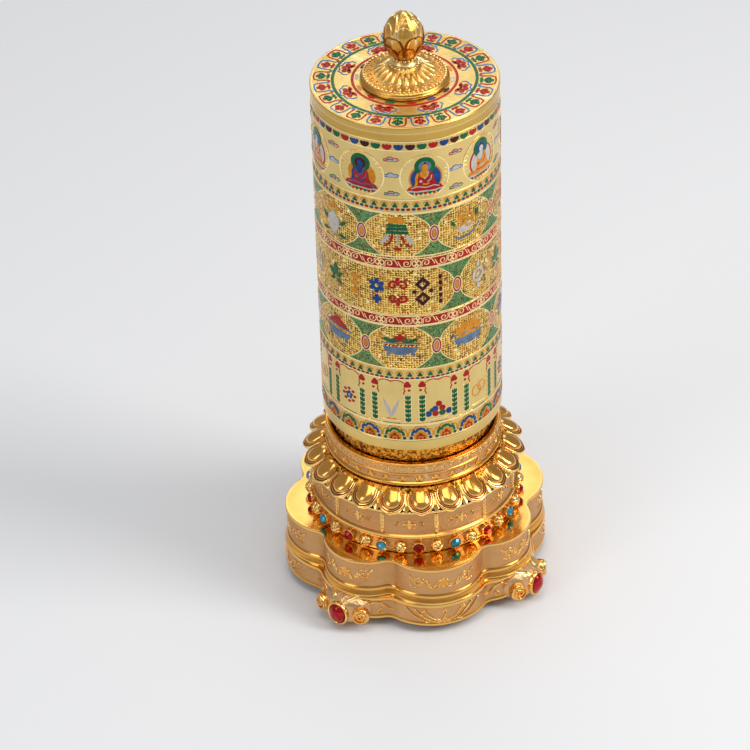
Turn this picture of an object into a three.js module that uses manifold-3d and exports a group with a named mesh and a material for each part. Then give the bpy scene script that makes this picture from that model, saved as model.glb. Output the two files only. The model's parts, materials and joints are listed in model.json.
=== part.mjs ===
// A desktop prayer wheel: an enamelled drum with a paper scroll inside, which turns on a fixed steel
// spindle and a ball thrust bearing, over a lobed, jewelled base on four scrolled feet.
// Millimetres, +Z up, the origin on the table under the spindle. The four wide lobes of the base face
// +X, +Y, -X and -Y, and the four feet stand on the diagonals.
import * as THREE from "three";
import { mergeVertices } from "three/addons/utils/BufferGeometryUtils.js";
import Module from "manifold-3d";

const wasm = await Module();
wasm.setup();

// ---------------------------------------------------------------- fits
const SEAT_GAP = 0.3; // between two pieces that seat on each other
const RUNNING_GAP = 0.05; // radial, the spindle in its bushes
const SPIN_GAP = 0.7; // radial, the drum's skirt inside the collar
const BALL_GAP = 0.2; // around each ball
const SOCKET_GAP = 0.25; // around a stone in its setting

// ---------------------------------------------------------------- drum
const DRUM_R = 33;
const DRUM_H = 136.7; // bottom of the rim to the top of the lid
const SHELL_T = 1.2;
const RIM_H = 4.5; // the plain rim below the shell
const SKIRT_INSET = 2.8; // the skirt below the rim is this much smaller in radius
const SKIRT_H = 9.4; // bottom of the floor to bottom of the rim
const SKIRT_T = 1.3;
const FLOOR_T = 2;
const SPIGOT_H = 3.5; // the short sleeves that enter the shell at both ends
const SPIGOT_T = 1.1;
const HUB_R = 9;
const HUB_H = 15;
const LID_T = 2;
const LID_CHAMFER = 0.6;

// ---------------------------------------------------------------- base, heights from the table up
const APRON_LIFT = 3.3; // table to the apron's lower edge
const LOWER_TIER_H = 9.9;
const STEP_H = 4; // the flared foot of the upper tier
const UPPER_TIER_H = 12.2;
const BELT_H = 6.4;
const NECK_H = 13.2;
const LOTUS_H = 6.7;
const COLLAR_H = 10;
const DRUM_LIFT = 6.9; // top of the collar to the bottom of the drum's rim

// ---------------------------------------------------------------- base, radii
const COLLAR_T = 1.5;
const COLLAR_BEAD = 0.5; // the collar's foot stands this far out, and its lower band is sunk as far
const COLLAR_FOOT_H = 1.6;
const COLLAR_BAND_H = 2.8;
const NECK_OUTSET = 6.4; // the neck band's top ring stands this far outside the drum
const NECK_T = 2.2;
const NECK_DIP = 1.4; // the neck band's wall is hollowed by this much under its top ring
const NECK_LIP = 1; // height of the top ring
const BELT_INSET = 1.2; // the belt's wall is this much inside the neck band's top ring
const BELT_T = 1.8;
const NOTCH_LEDGE = 3.4; // the shelf between the belt and the notches of the plinth
const WIDE_SWELL = 7.2; // a wide lobe's reach beyond the notches
const NARROW_SWELL = 6.2;
const WIDE_HALF_ANGLE = THREE.MathUtils.degToRad(24.5); // from a wide lobe's middle to its notches
const NOTCH_FILLET = 5;
const LOWER_SWELL = 1.1; // the lower tier's lobes stand this far outside the upper tier's
const LOWER_NOTCH_FILL = 3; // and its notches are this much shallower
const STEP_FLARE = 0.9;
const CASTING_T = 2.2;
const DECK_T = 1.9;
const LOBES = 4; // of each kind

// ---------------------------------------------------------------- feet
const FOOT_REACH = 5.2; // toe beyond the lower tier's narrow lobes
const TOE_W = 6;
const FOOT_W = 18.6;
const FOOT_SHOULDER_Z = 5; // where the foot reaches its full width
const FOOT_ROOT = 7; // how far the foot runs back into the tier
const VOLUTE_R = 2.9;
const VOLUTE_X = 8; // from the foot's middle
const VOLUTE_PROUD = 2.2;
const CABOCHON_A = 3; // half width
const CABOCHON_B = 3.8; // half height
const CABOCHON_DOME = 2.1;
const CABOCHON_Z = 6.7;
const BEZEL_WALL = 1.1;
const BEZEL_DEPTH = 1;

// ---------------------------------------------------------------- belt of stones, neck, petals
const STONES = 18;
const STONE_R = 1.75;
const STONE_DEPTH = 1.9;
const CUP_WALL = 0.5;
const CUP_PROUD = 1.9;
const CUP_FLOOR = 0.6;
const BEAD_R = 2.15;
const BEAD_PROUD = 0.8; // from the belt's wall to the bead's centre
const PANELS = 12;
const PILASTER_W = 2.2;
const PILASTER_T = 1.9;
const PILASTER_FOOT = 1; // neck band's lower edge up to the pilaster
const PILASTER_HEAD = 1.2; // pilaster up to the neck band's top
const PETALS = 22;
const PETAL_T = 2.3;
const PETAL_OVERHANG = 0.8; // the tips beyond the neck band's top ring

// ---------------------------------------------------------------- spindle and bearing
const SPINDLE_R = 4;
const SHOULDER_R = 8;
const PLATE_T = 2;
const PLATE_LEDGE = 4.5; // width of the neck band's flange that carries the plate
const WASHER_T = 1;
const WASHER_R = 8;
const NUT_R = 7; // across the corners
const NUT_H = 4;
const NUT_TAIL = 2; // the thread beyond the nut
const BUSH_T = 1.6;
const UPPER_BUSH_H = 8;
const BEARING_H = 8;
const RACE_T = 2.3;
const RACE_R = 10.8;
const BALLS = 6;
const BALL_R = 1.95;
const CAGE_T = 1.3;
const CAGE_MARGIN = 0.9; // cage metal beyond its pockets

// ---------------------------------------------------------------- inside the drum
const HEADROOM = 10; // spindle end to the lid
const DISC_T = 2;
const CORE_T = 1.4;
const SCROLL_CLEAR = 1.6; // scroll to the skirt's inner wall
const SCROLL_SHORT = 5; // scroll end to the upper disc

// ---------------------------------------------------------------- boss and finial
const BOSS_R = 15.6;
const BOSS_RIM_H = 3.2;
const BOSS_H = 6.6;
const BOSS_NECK_R = 4.8;
const FINIAL_H = 19.8;
const FINIAL_R = 7.5;
const FINIAL_NECK_R = 4;
const STUD_R = 2;
const STUD_TAIL = 5.5; // below the lid
const STUD_GRIP = 5; // inside the finial
const STUD_NUT_R = 4.2;
const STUD_NUT_H = 3;

// ---------------------------------------------------------------- bottom cover
const COVER_T = 1.5;
const COVER_RECESS = 3; // from the apron's lower edge up to the cover
const SCREW_R = 1.2;
const SCREW_HEAD_R = 2.4;
const SCREW_HEAD_H = 1.2;
const PILLAR_WALL = 1.6;
const COVER_MARGIN = 1.5; // cover beyond its screw heads

// ---------------------------------------------------------------- facets of round shapes
const LARGE = 32;
const MEDIUM = 20;
const SMALL = 12;
const TINY = 6;

// ================================================================ heights and radii that follow
const lowerTopZ = APRON_LIFT + LOWER_TIER_H;
const plinthTopZ = lowerTopZ + STEP_H + UPPER_TIER_H;
const beltTopZ = plinthTopZ + BELT_H;
const neckTopZ = beltTopZ + NECK_H;
const lotusTopZ = neckTopZ + LOTUS_H;
const collarTopZ = lotusTopZ + COLLAR_H;
const rimZ = collarTopZ + DRUM_LIFT;
const shellZ = rimZ + RIM_H + SEAT_GAP;
const lidZ = rimZ + DRUM_H;
const lidUnderZ = lidZ - LID_T;
const floorZ = rimZ - SKIRT_H;

const skirtR = DRUM_R - SKIRT_INSET;
const collarBoreR = skirtR + SPIN_GAP;
const collarR = collarBoreR + COLLAR_T;
const neckR = DRUM_R + NECK_OUTSET;
const beltR = neckR - BELT_INSET;
const notchR = beltR + NOTCH_LEDGE;

// ================================================================ geometry helpers
const turn = (count, index) => (2 * Math.PI * index) / count;

// The vertex radius of a polygon whose flats are at radius r, so that a round pin of that size clears it.
const boreR = (r, facets) => r / Math.cos(Math.PI / facets);

// A profile of [radius, height] pairs, anticlockwise with the radius to the right, turned about Z.
function turned(profile, facets) {
  const points = profile.map(([r, z]) => new THREE.Vector2(r, z));
  if (profile[0][0] > 0) points.push(points[0].clone());
  return new THREE.LatheGeometry(points, facets).rotateX(Math.PI / 2);
}

// A plain ring or, with no bore, a disc.
function ring(outer, inner, z0, z1, facets) {
  const bore = inner > 0 ? [[inner, z1], [inner, z0]] : [[0, z1]];
  const start = inner > 0 ? [] : [[0, z0]];
  return turned([...start, [outer, z0], [outer, z1], ...bore], facets);
}

function extruded(shape, z0, z1, curveSegments = 2) {
  const settings = { depth: z1 - z0, bevelEnabled: false, curveSegments };
  return new THREE.ExtrudeGeometry(shape, settings).translate(0, 0, z0);
}

// Stands a geometry made about +Z on the direction of one azimuth: its X runs along the rim, its Y
// upwards and its Z outwards, starting at radius r and height z.
function facingOut(geometry, azimuth, r, z) {
  const along = new THREE.Vector3(0, 1, 0);
  const up = new THREE.Vector3(0, 0, 1);
  const out = new THREE.Vector3(1, 0, 0);
  const stand = new THREE.Matrix4().makeBasis(along, up, out);
  return geometry.applyMatrix4(stand).translate(r, 0, z).rotateZ(azimuth);
}

// A closed geometry as a solid for joins and cuts.
function solid(geometry) {
  const bare = geometry.clone();
  bare.deleteAttribute("normal");
  bare.deleteAttribute("uv");
  const merged = mergeVertices(bare, 1e-4);
  const index = Array.from(merged.index.array);
  const kept = [];
  for (let i = 0; i < index.length; i += 3) {
    const [a, b, c] = index.slice(i, i + 3);
    if (a !== b && b !== c && c !== a) kept.push(a, b, c);
  }
  return new wasm.Manifold(
    new wasm.Mesh({
      numProp: 3,
      vertProperties: new Float32Array(merged.attributes.position.array),
      triVerts: new Uint32Array(kept),
    }),
  );
}

function geometryOf(made) {
  const mesh = made.getMesh();
  const geometry = new THREE.BufferGeometry();
  geometry.setAttribute("position", new THREE.BufferAttribute(mesh.vertProperties, 3));
  geometry.setIndex(new THREE.BufferAttribute(mesh.triVerts, 1));
  const faceted = geometry.toNonIndexed();
  faceted.computeVertexNormals();
  return faceted;
}

const joined = (first, ...others) => others.reduce((all, next) => all.add(solid(next)), solid(first));
const cut = (body, ...tools) => tools.reduce((all, next) => all.subtract(solid(next)), body);

// ================================================================ finishes
const finish = (color, roughness, metalness) =>
  new THREE.MeshStandardMaterial({ color, roughness, metalness });
const FINISHES = {
  roseGold: () => finish(0xd09a4c, 0.34, 1),
  paleGold: () => finish(0xdcc078, 0.24, 1),
  finialGold: () => finish(0xd9a042, 0.22, 1),
  steel: () => finish(0xb9bcc0, 0.3, 1),
  brass: () => finish(0xb08a3c, 0.35, 1),
  redStone: () => finish(0xa80812, 0.05, 0),
  blueStone: () => finish(0x3f9cc4, 0.05, 0),
  paper: () => finish(0xe6d9b4, 0.85, 0),
  cardboard: () => finish(0xa98660, 0.9, 0),
  blackedSteel: () => finish(0x35322e, 0.6, 0.6),
};

const wheel = new THREE.Group();
function place(name, geometry, finishName) {
  const mesh = new THREE.Mesh(geometry, FINISHES[finishName]());
  mesh.name = name;
  wheel.add(mesh);
}

// ================================================================ lobed outline of the plinth
// Eight arcs bulge outwards, wide and narrow in turn, and a hollow fillet joins each to the next.
// offset grows or shrinks the whole outline by that much.
function lobedOutline(wideReach, narrowReach, notch, offset) {
  const narrowHalf = Math.PI / LOBES - WIDE_HALF_ANGLE;
  const lobe = (reach, half, azimuth) => {
    const chord = notch * Math.sin(half);
    const rise = reach - notch * Math.cos(half);
    const radius = (chord * chord + rise * rise) / (2 * rise);
    const far = reach - radius;
    return { x: far * Math.cos(azimuth), y: far * Math.sin(azimuth), radius };
  };
  const shape = new THREE.Shape();
  for (let i = 0; i < 2 * LOBES; i++) {
    const here = i % 2 ? [narrowReach, narrowHalf] : [wideReach, WIDE_HALF_ANGLE];
    const there = i % 2 ? [wideReach, WIDE_HALF_ANGLE] : [narrowReach, narrowHalf];
    const a = lobe(...here, turn(2 * LOBES, i));
    const b = lobe(...there, turn(2 * LOBES, i + 1));
    const before = lobe(...there, turn(2 * LOBES, i - 1));
    const next = filletCentre(a, b);
    const last = filletCentre(before, a);
    const start = Math.atan2(last.y - a.y, last.x - a.x);
    const end = Math.atan2(next.y - a.y, next.x - a.x);
    shape.absarc(a.x, a.y, a.radius + offset, start, end, false);
    const hollowStart = Math.atan2(a.y - next.y, a.x - next.x);
    const hollowEnd = Math.atan2(b.y - next.y, b.x - next.x);
    shape.absarc(next.x, next.y, NOTCH_FILLET - offset, hollowStart, hollowEnd, true);
  }
  return shape;
}

// The centre of the hollow fillet that touches two lobes from outside.
function filletCentre(a, b) {
  const ra = a.radius + NOTCH_FILLET;
  const rb = b.radius + NOTCH_FILLET;
  const dx = b.x - a.x;
  const dy = b.y - a.y;
  const apart = Math.hypot(dx, dy);
  const along = (ra * ra - rb * rb + apart * apart) / (2 * apart);
  const aside = Math.sqrt(ra * ra - along * along);
  const x = a.x + (along * dx) / apart;
  const y = a.y + (along * dy) / apart;
  const side = x * dy - y * dx > 0 ? 1 : -1;
  return { x: x + (side * aside * dy) / apart, y: y - (side * aside * dx) / apart };
}

const upperOutline = (offset) =>
  lobedOutline(notchR + WIDE_SWELL, notchR + NARROW_SWELL, notchR, offset);
const lowerOutline = (offset) =>
  lobedOutline(
    notchR + WIDE_SWELL + LOWER_SWELL,
    notchR + NARROW_SWELL + LOWER_SWELL,
    notchR + LOWER_NOTCH_FILL,
    offset,
  );
const deckHoleR = beltR - BELT_T - DECK_T;
const deckHole = () => ring(deckHoleR, 0, 0, neckTopZ, LARGE);

// ================================================================ lower tier with aprons and feet
const footFaceR = notchR + NARROW_SWELL + LOWER_SWELL + FOOT_REACH;
const footRootR = footFaceR - FOOT_REACH - FOOT_ROOT;
const bezelFloorR = footFaceR - BEZEL_DEPTH;
const coverZ = APRON_LIFT + COVER_RECESS;
const coverR = footRootR - SEAT_GAP;
const pillarR = coverR - COVER_MARGIN - SCREW_HEAD_R;

function ellipse(a, b, z0, z1, facets) {
  return ring(1, 0, z0, z1, facets).scale(a, b, 1);
}

function footSolid(azimuth) {
  const outline = new THREE.Shape();
  outline.moveTo(-TOE_W / 2, 0);
  outline.lineTo(TOE_W / 2, 0);
  outline.lineTo(FOOT_W / 2, FOOT_SHOULDER_Z);
  outline.lineTo(FOOT_W / 2, lowerTopZ - DECK_T);
  outline.lineTo(-FOOT_W / 2, lowerTopZ - DECK_T);
  outline.lineTo(-FOOT_W / 2, FOOT_SHOULDER_Z);
  outline.closePath();
  const cheekDepth = FOOT_ROOT + FOOT_REACH / 2;
  const cheeks = extruded(outline, 0, cheekDepth);
  const bezelA = CABOCHON_A + SOCKET_GAP + BEZEL_WALL;
  const bezelB = CABOCHON_B + SOCKET_GAP + BEZEL_WALL;
  const bezel = ellipse(bezelA, bezelB, 0, FOOT_ROOT + FOOT_REACH, 2 * TINY).translate(0, CABOCHON_Z, 0);
  const toe = new THREE.BoxGeometry(TOE_W, CABOCHON_Z, FOOT_REACH + FOOT_ROOT - BEZEL_DEPTH);
  toe.translate(0, CABOCHON_Z / 2, (FOOT_REACH + FOOT_ROOT - BEZEL_DEPTH) / 2);
  const volutes = [-1, 1].map((side) =>
    ring(VOLUTE_R, 0, 0, cheekDepth + VOLUTE_PROUD, 2 * TINY).translate(side * VOLUTE_X, CABOCHON_Z, 0),
  );
  const socket = ellipse(CABOCHON_A + SOCKET_GAP, CABOCHON_B + SOCKET_GAP, 0, BEZEL_DEPTH + 1, 2 * TINY);
  socket.translate(0, CABOCHON_Z, FOOT_ROOT + FOOT_REACH - BEZEL_DEPTH);
  const stand = (geometry) => facingOut(geometry, azimuth, footRootR, 0);
  return cut(joined(stand(cheeks), stand(bezel), stand(toe), ...volutes.map(stand)), stand(socket));
}

function lowerPlinth() {
  const wall = lowerOutline(0);
  wall.holes.push(lowerOutline(-CASTING_T));
  const deck = solid(extruded(lowerOutline(-CASTING_T / 2), lowerTopZ - DECK_T, lowerTopZ));
  let made = cut(deck, deckHole()).add(solid(extruded(wall, APRON_LIFT, lowerTopZ)));
  for (let i = 0; i < LOBES; i++) {
    made = made.add(footSolid(turn(LOBES, i + 0.5)));
    const pillarTop = lowerTopZ - DECK_T / 2;
    const pillar = ring(SCREW_R + PILLAR_WALL, 0, coverZ + COVER_T + SEAT_GAP, pillarTop, SMALL);
    const hole = ring(SCREW_R + SEAT_GAP, 0, coverZ, lowerTopZ - DECK_T, TINY);
    const outwards = (g) => g.translate(pillarR, 0, 0).rotateZ(turn(LOBES, i));
    made = cut(made.add(solid(outwards(pillar))), outwards(hole));
  }
  return geometryOf(made);
}

function cabochon(azimuth) {
  const dome = [[0, 0], [1, 0], [1, 0.35], [0.8, 0.75], [0, 1]];
  const stone = turned(dome, SMALL).scale(CABOCHON_A, CABOCHON_B, BEZEL_DEPTH + CABOCHON_DOME - SEAT_GAP);
  return facingOut(stone, azimuth, bezelFloorR + SEAT_GAP, CABOCHON_Z);
}

// ================================================================ upper tier
function upperPlinth() {
  const z0 = lowerTopZ + SEAT_GAP;
  const wall = upperOutline(0);
  wall.holes.push(upperOutline(-CASTING_T));
  const flare = upperOutline(STEP_FLARE);
  flare.holes.push(upperOutline(-CASTING_T));
  const deck = solid(extruded(upperOutline(-CASTING_T / 2), plinthTopZ - DECK_T, plinthTopZ));
  const walls = joined(extruded(wall, z0, plinthTopZ), extruded(flare, z0, lowerTopZ + STEP_H));
  return geometryOf(cut(deck, deckHole()).add(walls));
}

// ================================================================ belt of stones and beads
const stoneZ = plinthTopZ + BELT_H / 2;

function jewelBelt() {
  let made = solid(ring(beltR, beltR - BELT_T, plinthTopZ + SEAT_GAP, beltTopZ, LARGE));
  const cupR = STONE_R + SOCKET_GAP + CUP_WALL;
  for (let i = 0; i < STONES; i++) {
    const cup = ring(cupR, 0, -BELT_T / 2, CUP_PROUD, TINY);
    const socket = ring(STONE_R + SOCKET_GAP, 0, CUP_FLOOR, CUP_PROUD + 1, TINY);
    const bead = new THREE.SphereGeometry(BEAD_R, TINY, 4);
    made = made.add(solid(facingOut(cup, turn(STONES, i), beltR, stoneZ)));
    made = cut(made, facingOut(socket, turn(STONES, i), beltR, stoneZ));
    made = made.add(solid(facingOut(bead, turn(STONES, i + 0.5), beltR + BEAD_PROUD, stoneZ)));
  }
  return geometryOf(made);
}

// A brilliant: a short pavilion behind the girdle and a sloped crown round a flat table.
function stone(index) {
  const culet = STONE_R * 0.35;
  const table = STONE_R * 0.6;
  const girdle = [0.45 * STONE_DEPTH, 0.6 * STONE_DEPTH];
  const profile = [
    [0, 0],
    [culet, 0],
    [STONE_R, girdle[0]],
    [STONE_R, girdle[1]],
    [table, STONE_DEPTH],
    [0, STONE_DEPTH],
  ];
  const seat = beltR + CUP_FLOOR + SEAT_GAP;
  return facingOut(turned(profile, TINY), turn(STONES, index), seat, stoneZ);
}

// ================================================================ neck band
const neckFloorZ = beltTopZ + SEAT_GAP;
const plateBoreR = neckR - NECK_T - PLATE_LEDGE;

function neckBand() {
  const inner = neckR - NECK_T - 1;
  const profile = [
    [inner, neckFloorZ],
    [neckR - NECK_DIP / 2, neckFloorZ],
    [neckR - NECK_DIP / 3, neckFloorZ + NECK_LIP],
    [neckR - 0.85 * NECK_DIP, neckFloorZ + 1.4 * NECK_LIP],
    [neckR - NECK_DIP, (neckFloorZ + neckTopZ) / 2],
    [neckR - 0.6 * NECK_DIP, neckTopZ - 1.5 * NECK_LIP],
    [neckR, neckTopZ - NECK_LIP],
    [neckR, neckTopZ],
    [plateBoreR, neckTopZ],
    [plateBoreR, neckTopZ - PLATE_T],
    [inner, neckTopZ - PLATE_T],
  ];
  let made = solid(turned(profile, LARGE));
  const low = neckFloorZ + PILASTER_FOOT;
  const high = neckTopZ - PILASTER_HEAD;
  for (let i = 0; i < PANELS; i++) {
    const pilaster = new THREE.BoxGeometry(PILASTER_W, high - low, PILASTER_T);
    const middleR = neckR - NECK_DIP + (PILASTER_T - NECK_DIP) / 2 - SEAT_GAP;
    made = made.add(solid(facingOut(pilaster, turn(PANELS, i), middleR, (low + high) / 2)));
  }
  return geometryOf(made);
}

// ================================================================ lotus ring
function lotusRing() {
  const z0 = neckTopZ + SEAT_GAP;
  const wall = turned([[0, z0], [neckR - 0.6, z0], [collarR + 0.4, lotusTopZ], [0, lotusTopZ]], LARGE);
  const plateRoomR = carrierR() + SEAT_GAP;
  const cavity = turned(
    [
      [0, z0 - 1],
      [plateRoomR, z0 - 1],
      [plateRoomR, z0 + PLATE_T + SEAT_GAP],
      [collarBoreR, z0 + PLATE_T + 1.5],
      [collarBoreR, lotusTopZ + 1],
      [0, lotusTopZ + 1],
    ],
    LARGE,
  );
  const rootR = collarR + 1;
  const tipR = neckR + PETAL_OVERHANG;
  const rootZ = lotusTopZ - 1.2;
  const tipZ = z0 + 1.2;
  const length = Math.hypot(tipR - rootR, rootZ - tipZ);
  const halfWidth = (Math.PI * (rootR + tipR)) / 2 / PETALS - 0.15;
  const petals = [];
  for (let i = 0; i < PETALS; i++) {
    const petal = new THREE.SphereGeometry(1, TINY, 4);
    petal.rotateX(Math.PI / 2).scale(length / 2, halfWidth, PETAL_T);
    petal.rotateY(Math.atan2(rootZ - tipZ, tipR - rootR));
    petals.push(petal.translate((rootR + tipR) / 2, 0, (rootZ + tipZ) / 2).rotateZ(turn(PETALS, i)));
  }
  return geometryOf(cut(joined(wall, ...petals), cavity));
}

// ================================================================ collar
function collar() {
  const z0 = lotusTopZ + SEAT_GAP;
  const bandZ = z0 + COLLAR_FOOT_H;
  const upperZ = bandZ + COLLAR_BAND_H;
  return turned(
    [
      [collarBoreR, z0],
      [collarR + 0.8 * COLLAR_BEAD, z0],
      [collarR + COLLAR_BEAD, z0 + 0.45 * COLLAR_FOOT_H],
      [collarR, z0 + 0.8 * COLLAR_FOOT_H],
      [collarR - COLLAR_BEAD, bandZ],
      [collarR - COLLAR_BEAD, upperZ],
      [collarR, upperZ + COLLAR_BEAD],
      [collarR, collarTopZ - COLLAR_BEAD],
      [collarR - COLLAR_BEAD, collarTopZ],
      [collarBoreR, collarTopZ],
    ],
    LARGE,
  );
}

// ================================================================ carrier plate, spindle and bearing
const plateZ = neckTopZ + SEAT_GAP;
const shoulderZ = plateZ + PLATE_T + SEAT_GAP;
const bearingZ = floorZ - SEAT_GAP - BEARING_H;
const spindleTopZ = lidUnderZ - HEADROOM;
const nutZ = plateZ - 2 * SEAT_GAP - WASHER_T - NUT_H;
const ballZ = bearingZ + BEARING_H / 2;
const pitchR = (SPINDLE_R + SEAT_GAP + RACE_R) / 2;

// The carrier plate lies on the neck band's flange, inside the lotus ring.
function carrierR() {
  return plateBoreR + PLATE_LEDGE - 0.6;
}

function carrierPlate() {
  return ring(carrierR(), boreR(SPINDLE_R + SEAT_GAP, SMALL), plateZ, plateZ + PLATE_T, LARGE);
}

function spindle() {
  const profile = [
    [0, nutZ - NUT_TAIL],
    [SPINDLE_R, nutZ - NUT_TAIL],
    [SPINDLE_R, shoulderZ],
    [SHOULDER_R, shoulderZ],
    [SHOULDER_R, bearingZ - SEAT_GAP],
    [SPINDLE_R, bearingZ - SEAT_GAP],
    [SPINDLE_R, spindleTopZ],
    [0, spindleTopZ],
  ];
  return turned(profile, SMALL);
}

function washer(z, facets = SMALL) {
  return ring(WASHER_R, boreR(SPINDLE_R + SEAT_GAP, facets), z, z + WASHER_T, facets);
}

function hexNut(acrossCorners, pin, z, height) {
  const nut = ring(acrossCorners, 0, z, z + height, 6);
  const hole = ring(boreR(pin + SEAT_GAP, 12), 0, z - 1, z + height + 1, 12);
  return geometryOf(cut(solid(nut), hole));
}

// One race of the thrust bearing; up is 1 for the race below the balls and -1 for the one above.
function race(faceZ, up) {
  const groove = Math.sqrt(BALL_R * BALL_R - (BALL_R - 0.4) ** 2) + BALL_GAP;
  const bore = boreR(SPINDLE_R + SEAT_GAP, MEDIUM);
  const trackZ = ballZ - up * (BALL_R + BALL_GAP);
  const lipZ = faceZ + up * RACE_T;
  const profile = [
    [bore, faceZ],
    [RACE_R, faceZ],
    [RACE_R, lipZ],
    [pitchR + groove, lipZ],
    [pitchR, trackZ],
    [pitchR - groove, lipZ],
    [bore, lipZ],
  ];
  return turned(up > 0 ? profile : profile.reverse(), MEDIUM);
}

const ballCentre = (index) => {
  const azimuth = turn(BALLS, index);
  return [pitchR * Math.cos(azimuth), pitchR * Math.sin(azimuth), ballZ];
};

function ballCage() {
  const reach = BALL_R + BALL_GAP + CAGE_MARGIN;
  let made = solid(ring(pitchR + reach, pitchR - reach, ballZ - CAGE_T / 2, ballZ + CAGE_T / 2, MEDIUM));
  for (let i = 0; i < BALLS; i++) {
    const pocket = ring(boreR(BALL_R + BALL_GAP, 12), 0, -CAGE_T, CAGE_T, 12);
    made = cut(made, pocket.translate(...ballCentre(i)));
  }
  return geometryOf(made);
}

// ================================================================ drum
// The floor, the skirt below it, the plain rim and the spigot that enters the shell are one turned piece.
function drumFloor() {
  const spigotR = DRUM_R - SHELL_T - SEAT_GAP;
  const rimTopZ = rimZ + RIM_H;
  const innerR = spigotR - SPIGOT_T;
  const hubBore = boreR(SPINDLE_R + RUNNING_GAP + BUSH_T + SEAT_GAP, MEDIUM);
  return turned(
    [
      [hubBore, floorZ],
      [skirtR, floorZ],
      [skirtR, rimZ],
      [DRUM_R, rimZ],
      [DRUM_R, rimTopZ],
      [spigotR, rimTopZ],
      [spigotR, rimTopZ + SPIGOT_H],
      [innerR, rimTopZ + SPIGOT_H],
      [skirtR - SKIRT_T, rimZ + FLOOR_T],
      [skirtR - SKIRT_T, floorZ + FLOOR_T],
      [HUB_R, floorZ + FLOOR_T],
      [HUB_R, floorZ + HUB_H],
      [hubBore, floorZ + HUB_H],
    ],
    LARGE,
  );
}

function bush(z0, z1) {
  return ring(
    SPINDLE_R + RUNNING_GAP + BUSH_T,
    boreR(SPINDLE_R + RUNNING_GAP, MEDIUM),
    z0,
    z1,
    MEDIUM,
  );
}

function drumLid() {
  const spigotR = DRUM_R - SHELL_T - SEAT_GAP;
  const hole = boreR(STUD_R + SEAT_GAP, SMALL);
  return turned(
    [
      [hole, lidUnderZ],
      [spigotR - SPIGOT_T, lidUnderZ],
      [spigotR - SPIGOT_T, lidUnderZ - SPIGOT_H],
      [spigotR, lidUnderZ - SPIGOT_H],
      [spigotR, lidUnderZ],
      [DRUM_R, lidUnderZ],
      [DRUM_R, lidZ - LID_CHAMFER],
      [DRUM_R - LID_CHAMFER, lidZ],
      [hole, lidZ],
    ],
    LARGE,
  );
}

// From the spindle's end down: tail of thread, lock nut, washer, upper bush in its disc.
const lockNutZ = spindleTopZ - 1 - NUT_H;
const topWasherZ = lockNutZ - SEAT_GAP - WASHER_T;
const upperBushZ = topWasherZ - SEAT_GAP - UPPER_BUSH_H;
const discZ = upperBushZ + (UPPER_BUSH_H - DISC_T) / 2;
const coreR = HUB_R + SEAT_GAP;

function topDisc() {
  const hole = boreR(SPINDLE_R + RUNNING_GAP + BUSH_T + SEAT_GAP, MEDIUM);
  return ring(DRUM_R - SHELL_T - SEAT_GAP, hole, discZ, discZ + DISC_T, LARGE);
}

function scrollCore() {
  const bottom = floorZ + FLOOR_T + SEAT_GAP;
  return ring(coreR + CORE_T, boreR(coreR, MEDIUM), bottom, discZ - SEAT_GAP, MEDIUM);
}

function prayerScroll() {
  const inner = boreR(coreR + CORE_T + SEAT_GAP, MEDIUM);
  const outer = skirtR - SKIRT_T - SCROLL_CLEAR;
  return ring(outer, inner, floorZ + FLOOR_T + SEAT_GAP, discZ - SCROLL_SHORT, LARGE);
}

// ================================================================ boss and finial
const bossZ = lidZ + SEAT_GAP;
const finialZ = bossZ + BOSS_H + SEAT_GAP;
const studTopZ = finialZ + STUD_GRIP;

function boss() {
  const hole = boreR(STUD_R + SEAT_GAP, SMALL);
  return turned(
    [
      [hole, bossZ],
      [BOSS_R, bossZ],
      [BOSS_R, bossZ + BOSS_RIM_H - 0.5],
      [BOSS_R - 0.5, bossZ + BOSS_RIM_H],
      [BOSS_R * 0.85, bossZ + BOSS_RIM_H + 0.3],
      [BOSS_R * 0.6, bossZ + BOSS_RIM_H + 0.58 * (BOSS_H - BOSS_RIM_H)],
      [BOSS_NECK_R, bossZ + BOSS_H],
      [hole, bossZ + BOSS_H],
    ],
    LARGE,
  );
}

// A pointed lotus bud on a flared neck: heights are shares of the finial's own height.
function finial() {
  const hole = boreR(STUD_R + SEAT_GAP, SMALL);
  const at = (share) => finialZ + share * FINIAL_H;
  return turned(
    [
      [0, studTopZ + SEAT_GAP],
      [hole, studTopZ + SEAT_GAP],
      [hole, finialZ],
      [BOSS_NECK_R, finialZ],
      [FINIAL_NECK_R, at(0.06)],
      [FINIAL_NECK_R * 1.2, at(0.14)],
      [FINIAL_R * 0.8, at(0.25)],
      [FINIAL_R * 0.97, at(0.38)],
      [FINIAL_R, at(0.5)],
      [FINIAL_R * 0.9, at(0.64)],
      [FINIAL_R * 0.65, at(0.79)],
      [FINIAL_R * 0.32, at(0.91)],
      [0, at(1)],
    ],
    MEDIUM,
  );
}

// ================================================================ bottom cover
function bottomCover() {
  let made = solid(ring(coverR, 0, coverZ, coverZ + COVER_T, LARGE));
  for (let i = 0; i < LOBES; i++) {
    const hole = ring(SCREW_R + SEAT_GAP, 0, coverZ - 1, coverZ + COVER_T + 1, TINY);
    made = cut(made, hole.translate(pillarR, 0, 0).rotateZ(turn(LOBES, i)));
  }
  return geometryOf(made);
}

function coverScrew(index) {
  const headZ = coverZ - SEAT_GAP - SCREW_HEAD_H;
  const profile = [
    [0, headZ],
    [SCREW_HEAD_R, headZ],
    [SCREW_HEAD_R, headZ + SCREW_HEAD_H],
    [SCREW_R, headZ + SCREW_HEAD_H],
    [SCREW_R, lowerTopZ - DECK_T - SEAT_GAP],
    [0, lowerTopZ - DECK_T - SEAT_GAP],
  ];
  return turned(profile, TINY).translate(pillarR, 0, 0).rotateZ(turn(LOBES, index));
}

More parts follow.
